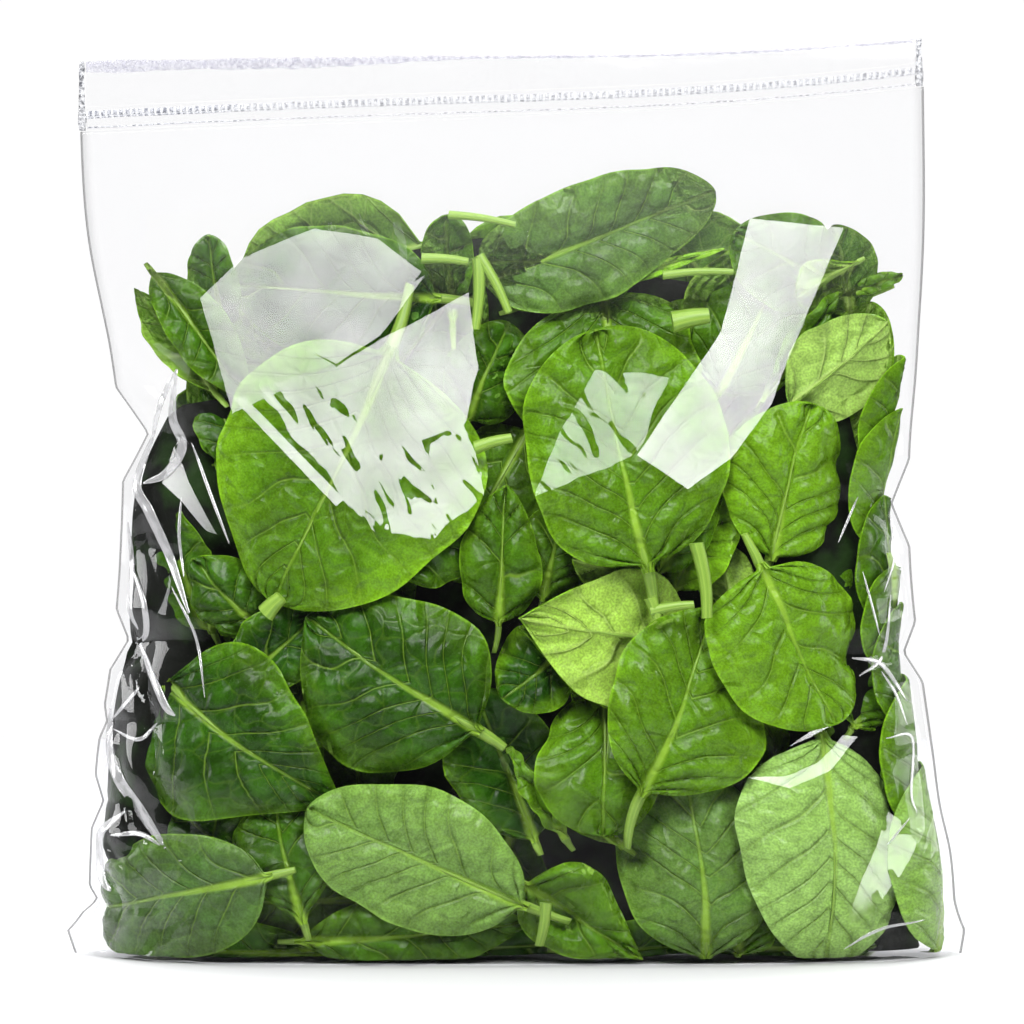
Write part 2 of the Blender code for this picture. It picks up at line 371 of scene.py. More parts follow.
@dataclass(frozen=True)
class BagForm:
    """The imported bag's outer form, worked out from the frame's zipper and body."""

    left_x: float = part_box("zip_end_left")[0].x
    right_x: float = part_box("zip_end_right")[1].x
    zip_left: float = 0.2505
    zip_rise: float = 0.0135
    zip_sag: float = 0.0024
    strip_half: float = 0.0034
    gap: float = 0.0003
    left_inset: tuple = (
        (0.000, 0.0020), (0.030, 0.0028), (0.060, 0.0050), (0.090, 0.0095), (0.120, 0.0120),
        (0.150, 0.0128), (0.180, 0.0095), (0.215, 0.0028), (0.265, 0.0000),
    )
    right_inset: tuple = (
        (0.000, -0.0104), (0.018, -0.0102), (0.030, -0.0091), (0.044, -0.0060), (0.060, -0.0037),
        (0.090, 0.0005), (0.120, 0.0035), (0.150, 0.0037), (0.180, 0.0015), (0.215, -0.0003),
        (0.265, 0.0000),
    )
    left_pinches: tuple[Pinch, ...] = (
        Pinch(0.156, 0.0080, 0.014), Pinch(0.0945, 0.0045, 0.009), Pinch(0.070, 0.0015, 0.005),
        Pinch(0.046, 0.0030, 0.008), Pinch(0.0165, 0.0025, 0.004),
    )
    right_pinches: tuple[Pinch, ...] = (Pinch(0.136, 0.0050, 0.013), Pinch(0.091, 0.0045, 0.009))
    pinch_reach: float = 0.030
    pinch_groove: float = 0.75
    pinch_fall: float = 0.30
    half_depths: tuple = (
        (0.00, 0.0310), (0.03, 0.0355), (0.10, 0.0378), (0.22, 0.0382), (0.40, 0.0352), (0.55, 0.0300),
        (0.70, 0.0212), (0.82, 0.0125), (0.92, 0.0050), (1.00, 0.0009),
    )
    plan_powers: tuple[float, float] = (4.4, 2.2)
    plan_roundings: tuple[float, float] = (0.55, 1.0)
    ear_reach: tuple[float, float] = (0.0062, 0.0030)
    ear_tip: float = 0.007
    ear_height: float = 0.017
    seam_width: float = 0.0012
    seam_half: float = 0.00035

    def zip_height(self, x: Array) -> Array:
        """Height of the zipper's middle line over each x."""
        share = (x - self.left_x) / (self.right_x - self.left_x)
        sag = self.zip_sag * np.sin(np.pi * share * share)
        return self.zip_left + self.zip_rise * share - sag

    def mouth(self, x: Array) -> Array:
        """Height at which the film meets the zipper strips over each x."""
        return self.zip_height(x) - self.strip_half - self.gap

    def seam_x(self, height: Array, right: Array) -> tuple[Array, Array]:
        """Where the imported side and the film's edge lie at each height.

        Args:
            height: Heights above the floor.
            right: Whether each is on the right.

        Returns:
            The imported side's x and the film edge's x.
        """
        left_edge = self.left_x + through(self.left_inset, height)
        for pinch in self.left_pinches:
            left_edge += pinch.depth * np.clip(1 - abs(height - pinch.height) / pinch.span, 0, 1)
        right_edge = self.right_x - through(self.right_inset, height)
        for pinch in self.right_pinches:
            right_edge -= pinch.depth * np.clip(1 - abs(height - pinch.height) / pinch.span, 0, 1)
        rise = np.clip(height / self.ear_tip, 0, 1)
        fall = np.clip((height - self.ear_tip) / (self.ear_height - self.ear_tip), 0, 1)
        ear = np.where(height < self.ear_tip, 0.6 + 0.4 * rise, (1 - fall) ** 1.5)
        ear *= np.where(right, self.ear_reach[1], self.ear_reach[0])
        edge = np.where(right, right_edge, left_edge)
        turn = np.where(right, 1.0, -1.0)
        return edge - turn * self.seam_width, edge + turn * ear

    def groove(self, x: Array, height: Array) -> Array:
        """How deep the creases that run in from the pinches cut at each place."""
        total = np.zeros_like(x)
        for pinches, edge in ((self.left_pinches, self.left_x), (self.right_pinches, self.right_x)):
            inward = np.clip((x - edge) * (1 if edge < 0 else -1), 0, None)
            for pinch in pinches:
                across = (height - pinch.height + self.pinch_fall * inward) / (pinch.span * 0.5)
                cut = np.exp(-inward / self.pinch_reach) * np.exp(-across * across)
                total += self.pinch_groove * pinch.depth * cut
        return total

    def half_depth(self, x: Array, height: Array) -> Array:
        """Distance of the smooth bag's wall from its middle plane at each place."""
        share = np.clip(height / self.mouth(x), 0, 1)
        packed, _ = self.seam_x(height, x > 0)
        middle = self.middle_x()
        plan = self.plan(np.clip((x - middle) / (packed - middle), 0, 1), share)
        depth = through(self.half_depths, share) * plan - self.groove(x, height) * plan**0.5
        return np.maximum(depth, self.seam_half)

    def plan(self, across: Array, share: Array) -> Array:
        """How the depth falls off from the middle, 0, to the seam, 1, at shares of height."""
        power = self.plan_powers[0] + (self.plan_powers[1] - self.plan_powers[0]) * share
        rounding = self.plan_roundings[0] + (self.plan_roundings[1] - self.plan_roundings[0]) * share
        return (1 - across**power) ** rounding

    def middle_x(self) -> float:
        """The x midway between the bag's two sides."""
        return (self.left_x + self.right_x) / 2

    def row_x(self, place: Array, share: Array) -> tuple[Array, Array]:
        """Where a film point lies for a place across and a share of the height.

        Args:
            place: -1 at the left edge to 1 at the right edge.
            share: 0 at the base to 1 at the mouth.

        Returns:
            The x and the height of each point.
        """
        right = place > 0
        rough = share * self.mouth(self.middle_x() + place * (self.right_x - self.middle_x()))
        _, edge = self.seam_x(rough, right)
        x = self.middle_x() + np.abs(place) * (edge - self.middle_x())
        return x, share * self.mouth(x)


class Ring:
    """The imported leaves' outer form unrolled: distance round it, height and depth inwards.

    Round distances run from 0 at the middle of the front to the left and right sides
    and on to the back. They count depth less than width, so that a leaf keeps the width
    that it is seen with where the wall turns to the side. The pinches of the film's
    seams are smoothed away, as leaves don't follow them.
    """

    STEP = 0.002
    ROUND = 0.470
    COLUMNS = 130
    SIDE_ROOM = -0.0002
    SEAM_FOOT = 0.019
    OWN_SIDE = 0.94
    SIDE_DEPTH = 0.011

    def __init__(self, form: BagForm) -> None:
        """Measures the wall of a bag form.

        Args:
            form: The bag's form.
        """
        self.form = form
        self.heights = np.arange(0.0, 0.262, self.STEP)
        self.around = np.linspace(-self.ROUND / 2, self.ROUND / 2, 236)
        place = np.sin(np.pi * (np.linspace(0, 1, self.COLUMNS + 1) - 0.5))
        middle_x = form.middle_x()
        rise = np.maximum(self.heights, self.SEAM_FOOT)
        left, right = (self._calm(form.seam_x(rise, np.array([side]))[0]) for side in (False, True))
        table = []
        for row, height in enumerate(self.heights):
            reach = np.where(place > 0, right[row] - middle_x, middle_x - left[row])
            x = middle_x + place * (reach - self.SIDE_ROOM)
            share = np.clip(height / form.mouth(x), 0, 1)
            y = through(form.half_depths, share) * form.plan(np.abs(place), share)
            ring_x = np.concatenate([x, x[-2:0:-1], x[:1]])
            ring_y = np.concatenate([-y, y[-2:0:-1], -y[:1]])
            steps = np.hypot(np.diff(ring_x), 0.4 * np.diff(ring_y))
            run = np.concatenate([[0.0], np.cumsum(steps)])
            middle = run[self.COLUMNS // 2]
            scaled = (run - middle) / run[-1] * self.ROUND
            wrapped_at = np.concatenate([scaled - self.ROUND, scaled[1:], scaled[1:] + self.ROUND])
            wrapped_x = np.concatenate([ring_x, ring_x[1:], ring_x[1:]])
            wrapped_y = np.concatenate([ring_y, ring_y[1:], ring_y[1:]])
            table.append(
                np.stack(
                    [
                        np.interp(self.around, wrapped_at, wrapped_x),
                        np.interp(self.around, wrapped_at, wrapped_y),
                    ],
                    axis=-1,
                )
            )
        self.table = np.array(table)
        self.inward = self._inward()

    @staticmethod
    def _calm(edge: Array) -> Array:
        """Smooths an edge's run over the height."""
        kernel = np.hanning(21)
        padded = np.pad(edge, 10, mode="edge")
        return np.convolve(padded, kernel / kernel.sum(), mode="valid")

    def _inward(self) -> Array:
        """The level directions that point into the bag, smoothed round the corners."""
        closed = self.table[:, :-1]
        tangent = np.roll(closed, -3, axis=1) - np.roll(closed, 3, axis=1)
        normal = np.stack([-tangent[..., 1], tangent[..., 0]], axis=-1)
        for _ in range(12):
            normal = (np.roll(normal, 1, axis=1) + normal + np.roll(normal, -1, axis=1)) / 3
        normal /= np.linalg.norm(normal, axis=-1, keepdims=True)
        return np.concatenate([normal, normal[:, :1]], axis=1)

    def _read(self, table: Array, around: Array, height: Array) -> Array:
        """Reads a table between its rows and columns."""
        column = (around + self.ROUND / 2) % self.ROUND / self.STEP
        row = np.clip(height / self.STEP, 0, len(self.heights) - 1.001)
        c0 = np.floor(column).astype(int)
        r0 = np.floor(row).astype(int)
        c1 = np.minimum(c0 + 1, table.shape[1] - 1)
        fc = (column - c0)[:, None]
        fr = (row - r0)[:, None]
        low = table[r0, c0] * (1 - fc) + table[r0, c1] * fc
        high = table[r0 + 1, c0] * (1 - fc) + table[r0 + 1, c1] * fc
        return low * (1 - fr) + high * fr

    def points(self, around: Array, height: Array, depth: Array) -> Array:
        """Places in the bag for round distances, heights and depths inwards.

        Args:
            around: Distances round the bag.
            height: Heights above the floor.
            depth: Depths in from the smooth wall.

        Returns:
            One point a row.
        """
        wall = self._read(self.table, around, height)
        inward = self._read(self.inward, around, height)
        flat = wall + inward * depth[:, None]
        return np.column_stack([flat, height])

    def room(self, around: Array, height: Array) -> Array:
        """How deep a leaf may lie at each place before it reaches the middle plane."""
        wall = self._read(self.table, around, height)
        inward = self._read(self.inward, around, height)
        level = np.abs(inward[:, 1])
        own_side = np.abs(wall[:, 1]) * self.OWN_SIDE / np.maximum(level, 0.25)
        beside = self.SIDE_DEPTH * (1 - ramp(level, 0.35, 0.75)) * (1 - ramp(height, 0.160, 0.190))
        return np.maximum(own_side, beside)

    def round_of(self, x: float, height: float) -> float:
        """The round distance of a place on the front wall, or round its corner if it's beyond."""
        row = self.table[int(np.clip(height / self.STEP, 0, len(self.heights) - 1))]
        first = int(np.argmin(row[:, 0]))
        last = int(np.argmax(row[:, 0]))
        seen = slice(first, last + 1)
        beyond = x - float(np.clip(x, row[first, 0], row[last, 0]))
        return float(np.interp(x, row[seen, 0], self.around[seen])) + beyond


class Packing:
    """Keeps how deep each spot of the wall is already covered by leaves."""

    CELL = 0.001
    ROWS = 262

    def __init__(self, ring: Ring, clearance: Callable[[Array, Array], Array]) -> None:
        """Starts with the room that the film needs for its own creases.

        Args:
            ring: The unrolled wall.
            clearance: Depth kept free behind the film for round distances and heights.
        """
        self.ring = ring
        self.columns = int(round(ring.ROUND / self.CELL))
        around = (np.arange(self.columns) + 0.5) * self.CELL - ring.ROUND / 2
        height = (np.arange(self.ROWS) + 0.5) * self.CELL
        self.depth = clearance(*np.meshgrid(around, height))
        self.relaxed = self.depth.copy()

    def _cells(self, around: Array, height: Array) -> tuple[Array, Array]:
        """Row and column of each place."""
        column = np.floor((around + self.ring.ROUND / 2) / self.CELL).astype(int) % self.columns
        row = np.clip((height / self.CELL).astype(int), 0, self.ROWS - 1)
        return row, column

    def relax(self, reach: int, blur: int) -> None:
        """Spreads the covered depths so that the next leaf bridges their steps.

        Args:
            reach: Cells by which a step is widened.
            blur: Passes of smoothing.
        """
        wide = self.depth
        for _ in range(reach):
            wide = np.maximum(wide, np.maximum(np.roll(wide, 1, 1), np.roll(wide, -1, 1)))
            wide = np.maximum(wide, np.maximum(np.roll(wide, 1, 0), np.roll(wide, -1, 0)))
        for _ in range(blur):
            wide = (wide * 2 + np.roll(wide, 2, 1) + np.roll(wide, -2, 1)) / 4
            wide = (wide * 2 + np.roll(wide, 2, 0) + np.roll(wide, -2, 0)) / 4
        self.relaxed = np.maximum(wide, self.depth)

    def under(self, around: Array, height: Array) -> Array:
        """How deep a new leaf has to lie at each place."""
        return self.relaxed[self._cells(around, height)]

    def cover(self, around: Array, height: Array, depth: Array, spread: int = 2) -> None:
        """Marks places as covered down to a depth.

        Args:
            around: Round distances.
            height: Heights.
            depth: Depths that are taken.
            spread: Cells on each side that a place covers too.
        """
        row, column = self._cells(around, height)
        for up in range(-spread, spread + 1):
            rows = np.clip(row + up, 0, self.ROWS - 1)
            for over in range(-spread, spread + 1):
                np.maximum.at(self.depth, (rows, (column + over) % self.columns), depth)


class LeafKind(Enum):
    """The forms that baby spinach leaves come in."""

    ROUND = "round"
    OVAL = "oval"
    SPOON = "spoon"
    NARROW = "narrow"
    POINTED = "pointed"


@dataclass(frozen=True)
class LeafOutline:
    """How a leaf's width runs from its base, which tapers into the stalk, to its tip."""

    base_power: float
    tip_power: float
    neck: float = 0.045
    wing: float = 0.055

    def varied(self, rng: np.random.Generator) -> "LeafOutline":
        """Another leaf of the same form."""
        return LeafOutline(
            self.base_power * rng.uniform(0.88, 1.15), self.tip_power * rng.uniform(0.85, 1.25),
        )

    def width(self, share: Array) -> Array:
        """Half width of the blade as a share of its widest."""
        top = self.base_power / (self.base_power + self.tip_power)
        widest = top**self.base_power * (1 - top) ** self.tip_power
        body = np.clip((share - self.neck) / (1 - self.neck), 0, 1)
        body = body**self.base_power * (1 - body) ** self.tip_power / widest
        wing = self.wing * (1 + 0.8 * np.clip(share / self.neck, 0, 1) ** 2)
        return np.hypot(body, wing * (1 - ramp(share, self.neck, 5 * self.neck)))


ROUND, OVAL, SPOON, NARROW, POINTED = LeafKind
OUTLINES = {
    ROUND: LeafOutline(0.42, 0.50), OVAL: LeafOutline(0.52, 0.62), SPOON: LeafOutline(0.95, 0.62),
    NARROW: LeafOutline(0.75, 0.80), POINTED: LeafOutline(0.55, 1.15),
}


@dataclass(frozen=True)
class LeafPose:
    """Where one leaf lies and how it bends. Lengths are in millimetres, angles in degrees.

    The base is where the stalk meets the blade. A place is how far across the front it
    is seen and how high, or for a leaf that is not seen from the front, how far round
    the bag from the middle of the front and how high.
    """

    kind: LeafKind
    base: tuple[float, float]
    tip: tuple[float, float]
    width: float
    stalk: float = 4
    seen: bool = True
    underside: bool = False
    tone: float = 0.3
    yellow: float = 0.3
    pale: float = 0.0
    fold: float = 0.0
    curl: float = 8.0
    arch: float = 10.0
    roll: float = 0.0
    pitch: float = 0.0
    ruffle: float = 1.2
    stalk_bend: float = 0.0
    relief: float = 1.0
    seed: int = 0


@dataclass(frozen=True)
class StalkPose:
    """A loose stalk from one place to another. Lengths are in millimetres."""

    start: tuple[float, float]
    end: tuple[float, float]
    radius: float
    seen: bool = True
    seed: int = 0


@dataclass(frozen=True)
class LeafMesh:
    """How fine a leaf's mesh is."""

    across: int
    along: int
    stalk_rings: int
    stalk_sides: int


LOWEST, HIGHEST = 0.0012, 0.243
FINE = LeafMesh(28, 40, 22, 8)
MIDDLING = LeafMesh(18, 26, 16, 6)
COARSE = LeafMesh(12, 16, 12, 6)


def turned(first: Array, second: Array, angle: float) -> tuple[Array, Array]:
    """Turns pairs of coordinates in their own plane."""
    cosine, sine = math.cos(angle), math.sin(angle)
    return first * cosine - second * sine, first * sine + second * cosine


@dataclass(frozen=True)
class LeafBuilder:
    """Models one flat leaf of each kind and lays bent copies of it in the bag."""

    ring: Ring
    packing: Packing
    blade_material: Material
    underside_material: Material
    stalk_material: Material
    thickness: float = 0.00045
    stalk_radius: float = 0.0016
    rib_end: float = 0.82
    rib_end_radius: float = 0.00022
    vein_pitch: float = 0.16
    vein_rise: float = 0.40
    pucker: float = 0.0019
    lopsided: float = 0.10
    bulk: float = 0.004
    masters: dict = field(default_factory=dict)

    def master(self, kind: LeafKind, fineness: LeafMesh) -> Object:
        """The square leaf that copies are taken from: -1 to 1 across and 0 to 1 along.

        Args:
            kind: The leaf's form.
            fineness: How fine its mesh is.

        Returns:
            The flat leaf, kept out of the render.
        """
        key = (kind, fineness)
        if key in self.masters:
            return self.masters[key]
        blade = new_grid(f"master_{kind.value}_{fineness.across}", fineness.across, fineness.along)
        flat = points_of(blade)
        share = (1 - np.cos(np.pi * (flat[:, 1] + 1) / 2)) / 2
        self._add_maps(blade, (flat[:, 0] + 1) / 2, share)
        set_points(blade, np.column_stack([flat[:, 0], share, np.zeros(len(flat))]))
        if blade.data.polygons[0].normal.z < 0:
            edit(blade, lambda: bpy.ops.mesh.flip_normals())
        self.masters[key] = blade
        blade.hide_render = True
        return blade

    def _add_maps(self, piece: Object, across: Array, along: Array) -> None:
        """Gives a piece of leaf its materials and its maps: shares of width and length first."""
        for material in (self.blade_material, self.underside_material, self.stalk_material):
            piece.data.materials.append(material)
        piece.data.uv_layers[0].name = "span"
        write_map(piece, "span", across, along)
        piece.data.uv_layers.new(name="flat")
        piece.data.uv_layers.new(name="veins")

    def stalk(self, length: float, reach: float, fineness: LeafMesh) -> Object:
        """A stalk that runs on as the midrib under the blade, lying along Y.

        Args:
            length: The blade's length.
            reach: The stalk's length before the blade.
            fineness: How fine its mesh is.

        Returns:
            The stalk.
        """
        tube = new_grid("stalk", fineness.stalk_sides, fineness.stalk_rings)
        raw = points_of(tube)
        turn = np.pi * raw[:, 0]
        share = (raw[:, 1] + 1) / 2
        y = -reach + share * (reach + length * self.rib_end)
        before = np.clip(-y / max(reach, 1e-6), 0, 1)
        after = np.clip(y / max(length * self.rib_end, 1e-6), 0, 1)
        radius = self.stalk_radius * (1 - 0.62 * ramp(after, 0.0, 0.22)) * (1 - 0.80 * after)
        radius = np.maximum(radius, self.rib_end_radius) * (1 - 0.30 * before)
        height = -radius * (0.35 + 0.55 * ramp(after, 0.0, 0.5))
        x = np.cos(turn) * radius * 1.1
        z = np.sin(turn) * radius * 0.9 + height
        angle = (raw[:, 0] + 1) / 2
        self._add_maps(tube, angle, y / max(length, 0.01))
        write_map(tube, "flat", angle * 0.1, y * 10)
        set_points(tube, np.column_stack([x, y, z]))
        close_ends(tube)
        slots = np.full(len(tube.data.polygons), 2, np.int32)
        tube.data.polygons.foreach_set("material_index", slots)
        return tube

    def place(self, pose: LeafPose, fineness: LeafMesh) -> Object:
        """Lays one leaf in the bag, behind those that already lie there.

        Args:
            pose: Where it lies and how it bends.
            fineness: How fine its mesh is.

        Returns:
            The leaf with its stalk.
        """
        rng = np.random.default_rng(pose.seed)
        base = self._spot(pose.base, pose.seen)
        along = self._spot(pose.tip, pose.seen) - base
        length = float(np.linalg.norm(along))
        width = pose.width * MM
        master = self.master(pose.kind, fineness)
        blade = master.copy()
        blade.data = master.data.copy()
        blade.hide_render = False
        bpy.context.scene.collection.objects.link(blade)
        square = points_of(blade)
        outline = OUTLINES[pose.kind].varied(rng)
        half = outline.width(square[:, 1]) * width / 2
        half *= 1 + self.lopsided * rng.uniform(-1, 1) * np.sign(square[:, 0])
        flat = np.column_stack([square[:, 0] * half, square[:, 1] * length, square[:, 2]])
        phase = self._veins(flat, square, pose, length, rng)
        write_map(blade, "flat", flat[:, 0] * 10, flat[:, 1] * 10)
        write_map(blade, "veins", phase, square[:, 0])
        flat[:, 2] += self._surface(flat, square, pose, phase, rng)
        flat[:, 0] += self._wobble(flat, pose, rng)
        set_points(blade, flat)
        apply_modifier(
            blade, "SOLIDIFY", thickness=self.thickness, offset=0.0, material_offset=1,
            material_offset_rim=0, use_even_offset=False,
        )
        tube = self.stalk(length, pose.stalk * MM, fineness)
        flat = points_of(tube)
        flat[:, [0, 2]] *= np.clip(pose.width / 50, 0.45, 1.25) ** 0.8
        lean = pose.stalk_bend + rng.uniform(-0.8, 0.8)
        flat[:, 0] += lean * np.clip(-flat[:, 1], 0, None) ** 2 * 20
        near = np.abs(flat[:, 0]) < 1
        flat[near, 2] += self._ridge(flat[near], pose, length)
        set_points(tube, flat)
        count = len(blade.data.vertices)
        leaf = join([blade, tube], f"leaf_{pose.seed}")
        self._bend(leaf, pose, length, base, along, count)
        self._colour(leaf, pose)
        return leaf

    def fits(self, pose: LeafPose, largest_step: float, most_crushed: float) -> bool:
        """Tells whether a leaf lies in the bag without being crushed against the middle.

        Args:
            pose: Where it would lie.
            largest_step: The deepest hollow that it may bridge, in metres.
            most_crushed: Share of it that may come near the middle plane.

        Returns:
            Whether it fits.
        """
        base = self._spot(pose.base, pose.seen)
        along = self._spot(pose.tip, pose.seen) - base
        length = float(np.linalg.norm(along))
        heading = along / length
        u, v = np.meshgrid(np.linspace(-0.45, 0.45, 9), np.linspace(0.05, 0.95, 9))
        across = (u * np.sin(np.pi * v) * pose.width * MM).ravel()
        run = (v * length).ravel()
        around = base[0] + run * heading[0] + across * heading[1]
        height = np.clip(base[1] + run * heading[1] - across * heading[0], LOWEST, HIGHEST)
        under = self.packing.under(around, height)
        bridged = self._bridge(across, run, under, pose)
        crushed = bridged + self.bulk > self.ring.room(around, height)
        steps = bridged - under
        return bool(crushed.mean() < most_crushed and steps.max() < largest_step)

    def place_stalk(self, pose: StalkPose, fineness: LeafMesh) -> Object:
        """Lays one loose stalk in the bag, behind what already lies there.

        Args:
            pose: Where it lies.
            fineness: How fine its mesh is.

        Returns:
            The stalk.
        """
        start = self._spot(pose.start, pose.seen)
        along = self._spot(pose.end, pose.seen) - start
        length = float(np.linalg.norm(along))
        tube = self.stalk(0.0, length, fineness)
        flat = points_of(tube)
        share = -flat[:, 1] / length
        flat[:, 2] += self.stalk_radius * 0.35
        flat[:, [0, 2]] *= pose.radius * MM / self.stalk_radius
        flat[:, 0] += 0.03 * length * np.sin(np.pi * share) * (1 if pose.seed % 2 else -1)
        heading = along / length
        around = start[0] + share * along[0] + flat[:, 0] * heading[1]
        height = start[1] + share * along[1] - flat[:, 0] * heading[0]
        height = np.clip(height, LOWEST, HIGHEST)
        depth = self.packing.under(around, height) - flat[:, 2] + pose.radius * MM
        depth = np.minimum(depth, self.ring.room(around, height))
        self.packing.cover(around, height, depth + 0.0003)
        set_points(tube, self.ring.points(around, height, depth))
        self._colour(tube, LeafPose(OVAL, (0, 0), (0, 0), 0, tone=0.5, seed=pose.seed))
        tube.name = f"stalk_{pose.seed}"
        return tube

    @staticmethod
    def _wobble(flat: Array, pose: LeafPose, rng: np.random.Generator) -> Array:
        """Sideways shifts that make the two halves of the outline unlike."""
        first, second = rng.uniform(0, 2 * np.pi, 2)
        share = flat[:, 1] / max(flat[:, 1].max(), 1e-6)
        edge = np.abs(flat[:, 0]) / (pose.width * MM / 2)
        sway = 0.03 * np.sin(2.2 * np.pi * share + first) + 0.006 * np.sin(7 * np.pi * share + second)
        return sway * pose.width * MM * np.minimum(edge + 0.2, 1.0) * np.sin(np.pi * share)

    def _veins(
        self, flat: Array, square: Array, pose: LeafPose, length: float, rng: np.random.Generator,
    ) -> Array:
        """Counts the side veins from the base at each place: whole numbers lie on a vein.

        Args:
            flat: Places on the flat blade.
            square: The same places from -1 to 1 across and 0 to 1 along.
            pose: The leaf's pose.
            length: The blade's length.
            rng: The leaf's own random numbers.

        Returns:
            The counts.
        """
        reach = np.abs(square[:, 0])
        rise = self.vein_rise * (1 - 0.35 * square[:, 1]) * min(pose.width * MM / length / 0.75, 1.2)
        along = square[:, 1] - rise * reach**0.9 + 0.16 * rise * reach**3
        pitch = np.clip(self.vein_pitch * 0.060 / length, 0.10, 0.24)
        wander = Noise(pose.seed).at(flat[:, 0] / 0.019, flat[:, 1] / 0.019)
        uneven = 0.30 * np.sin(2 * np.pi * 1.3 * along + rng.uniform(0, 6))
        shift = rng.uniform(0, 1) + np.where(square[:, 0] > 0, rng.uniform(0.3, 0.6), 0.0)
        return along / pitch + 0.34 * wander * ramp(reach, 0.0, 0.4) + uneven + shift + 4.0

    def _surface(
        self, flat: Array, square: Array, pose: LeafPose, phase: Array, rng: np.random.Generator,
    ) -> Array:
        """Heights of the puckers between the veins and of the wavy margin."""
        reach = np.abs(square[:, 0])
        bulge = np.abs(np.sin(np.pi * phase)) ** 0.7
        bulge *= ramp(reach, 0.02, 0.3) * (1 - 0.8 * ramp(reach, 0.75, 1.0))
        lift = rng.uniform(0.8, 1.2) * self.pucker * pose.relief
        total = lift * bulge
        quilt = Noise(pose.seed + 500).at(flat[:, 0] / 0.0085, flat[:, 1] / 0.0085)
        total += 0.0009 * pose.relief * quilt * (1 - ramp(reach, 0.7, 1.0))
        sag = Noise(pose.seed + 900).at(flat[:, 0] / 0.035, flat[:, 1] / 0.035)
        total += 0.0014 * min(pose.relief, 1.0) * sag
        turn = rng.uniform(0, 6) + 1.7 * (flat[:, 0] > 0)
        wave = np.sin(2 * np.pi * 2.3 * square[:, 1] + turn)
        wave += 0.5 * np.sin(2 * np.pi * 5.1 * square[:, 1] + 2 * turn)
        total += pose.ruffle * MM * reach**3 * wave
        groove = np.exp(-((np.abs(flat[:, 0]) / 0.0018) ** 2)) * (1 - ramp(square[:, 1], 0.5, 1.0))
        return total - 0.0006 * groove * pose.relief

    def _ridge(self, flat: Array, pose: LeafPose, length: float) -> Array:
        """Keeps the midrib tight under the blade's groove."""
        share = np.clip(flat[:, 1] / length, 0, 1)
        return -0.0005 * (1 - ramp(share, 0.5, 1.0)) * (flat[:, 1] > 0) * pose.relief

    def _spot(self, place: tuple[float, float], seen: bool) -> Array:
        """Turns a pose's place into round distance and height in metres."""
        height = place[1] * MM
        around = self.ring.round_of(place[0] * MM, height) if seen else place[0] * MM
        return np.array([around, height])

    def _bend(
        self, leaf: Object, pose: LeafPose, length: float, base: Array, along: Array, blade: int,
    ) -> None:
        """Folds, curls and arches a flat leaf and lays it on what is in front of it."""
        flat = points_of(leaf)
        x, y, z = flat.T
        start = math.radians(pose.fold)
        bow = -math.radians(pose.curl or 0.1) / (pose.width * MM / 2)
        reach = np.abs(x)
        angle = start + bow * reach
        cross = np.sign(x) * (np.sin(angle) - math.sin(start)) / bow
        lift = (math.cos(start) - np.cos(angle)) / bow
        cross -= np.sign(x) * z * np.sin(angle)
        lift += z * np.cos(angle)
        arc = math.radians(pose.arch or 0.1) / length
        run = y - length / 2
        turn = -arc * run
        far = -np.sin(turn) / arc + lift * np.sin(turn)
        high = -(1 - np.cos(turn)) / arc + lift * np.cos(turn)
        if pose.underside:
            cross, high = -cross, -high
        cross, high = turned(cross, high, math.radians(pose.roll))
        far, high = turned(far, high, math.radians(pose.pitch))
        heading = along / length
        middle = base + along / 2
        around = middle[0] + far * heading[0] + cross * heading[1]
        height = middle[1] + far * heading[1] - cross * heading[0]
        own = np.maximum(high[:blade].max() - high, 0)
        spread = 1 if len(flat) > 1200 else 3
        sunk = np.clip(LOWEST - height, 0, None)
        height = np.clip(height, LOWEST, HIGHEST)
        depth = own + self._bridge(x, y, self.packing.under(around, height), pose) + sunk * 0.9
        depth = np.minimum(depth, self.ring.room(around, height))
        self.packing.cover(around, height, depth + 0.0003, spread)
        set_points(leaf, self.ring.points(around, height, depth))

    @staticmethod
    def _bridge(x: Array, y: Array, under: Array, pose: LeafPose) -> Array:
        """Lets a leaf span the steps under it, as a stiff sheet does.

        Args:
            x: Places across the flat leaf.
            y: Places along it.
            under: How deep each place has to lie at least.
            pose: The leaf's pose.

        Returns:
            How deep each place lies.
        """
        u = x / (pose.width * MM)
        v = y / max(np.abs(y).max(), 1e-6)
        terms = np.column_stack([np.ones_like(u), u, v, u * u, u * v, v * v])
        smooth_under = terms @ np.linalg.lstsq(terms, under, rcond=None)[0]
        above = np.percentile(under - smooth_under, 82)
        return np.maximum(smooth_under + above, under)

    @staticmethod
    def _colour(leaf: Object, pose: LeafPose) -> None:
        """Writes how light a leaf is, how light its rim is and how greyish."""
        mesh = leaf.data
        tint = mesh.attributes.new("leaf_tint", "FLOAT_COLOR", "POINT")
        values = np.tile([pose.tone, pose.yellow, pose.pale, 1.0], len(mesh.vertices))
        tint.data.foreach_set("color", values)


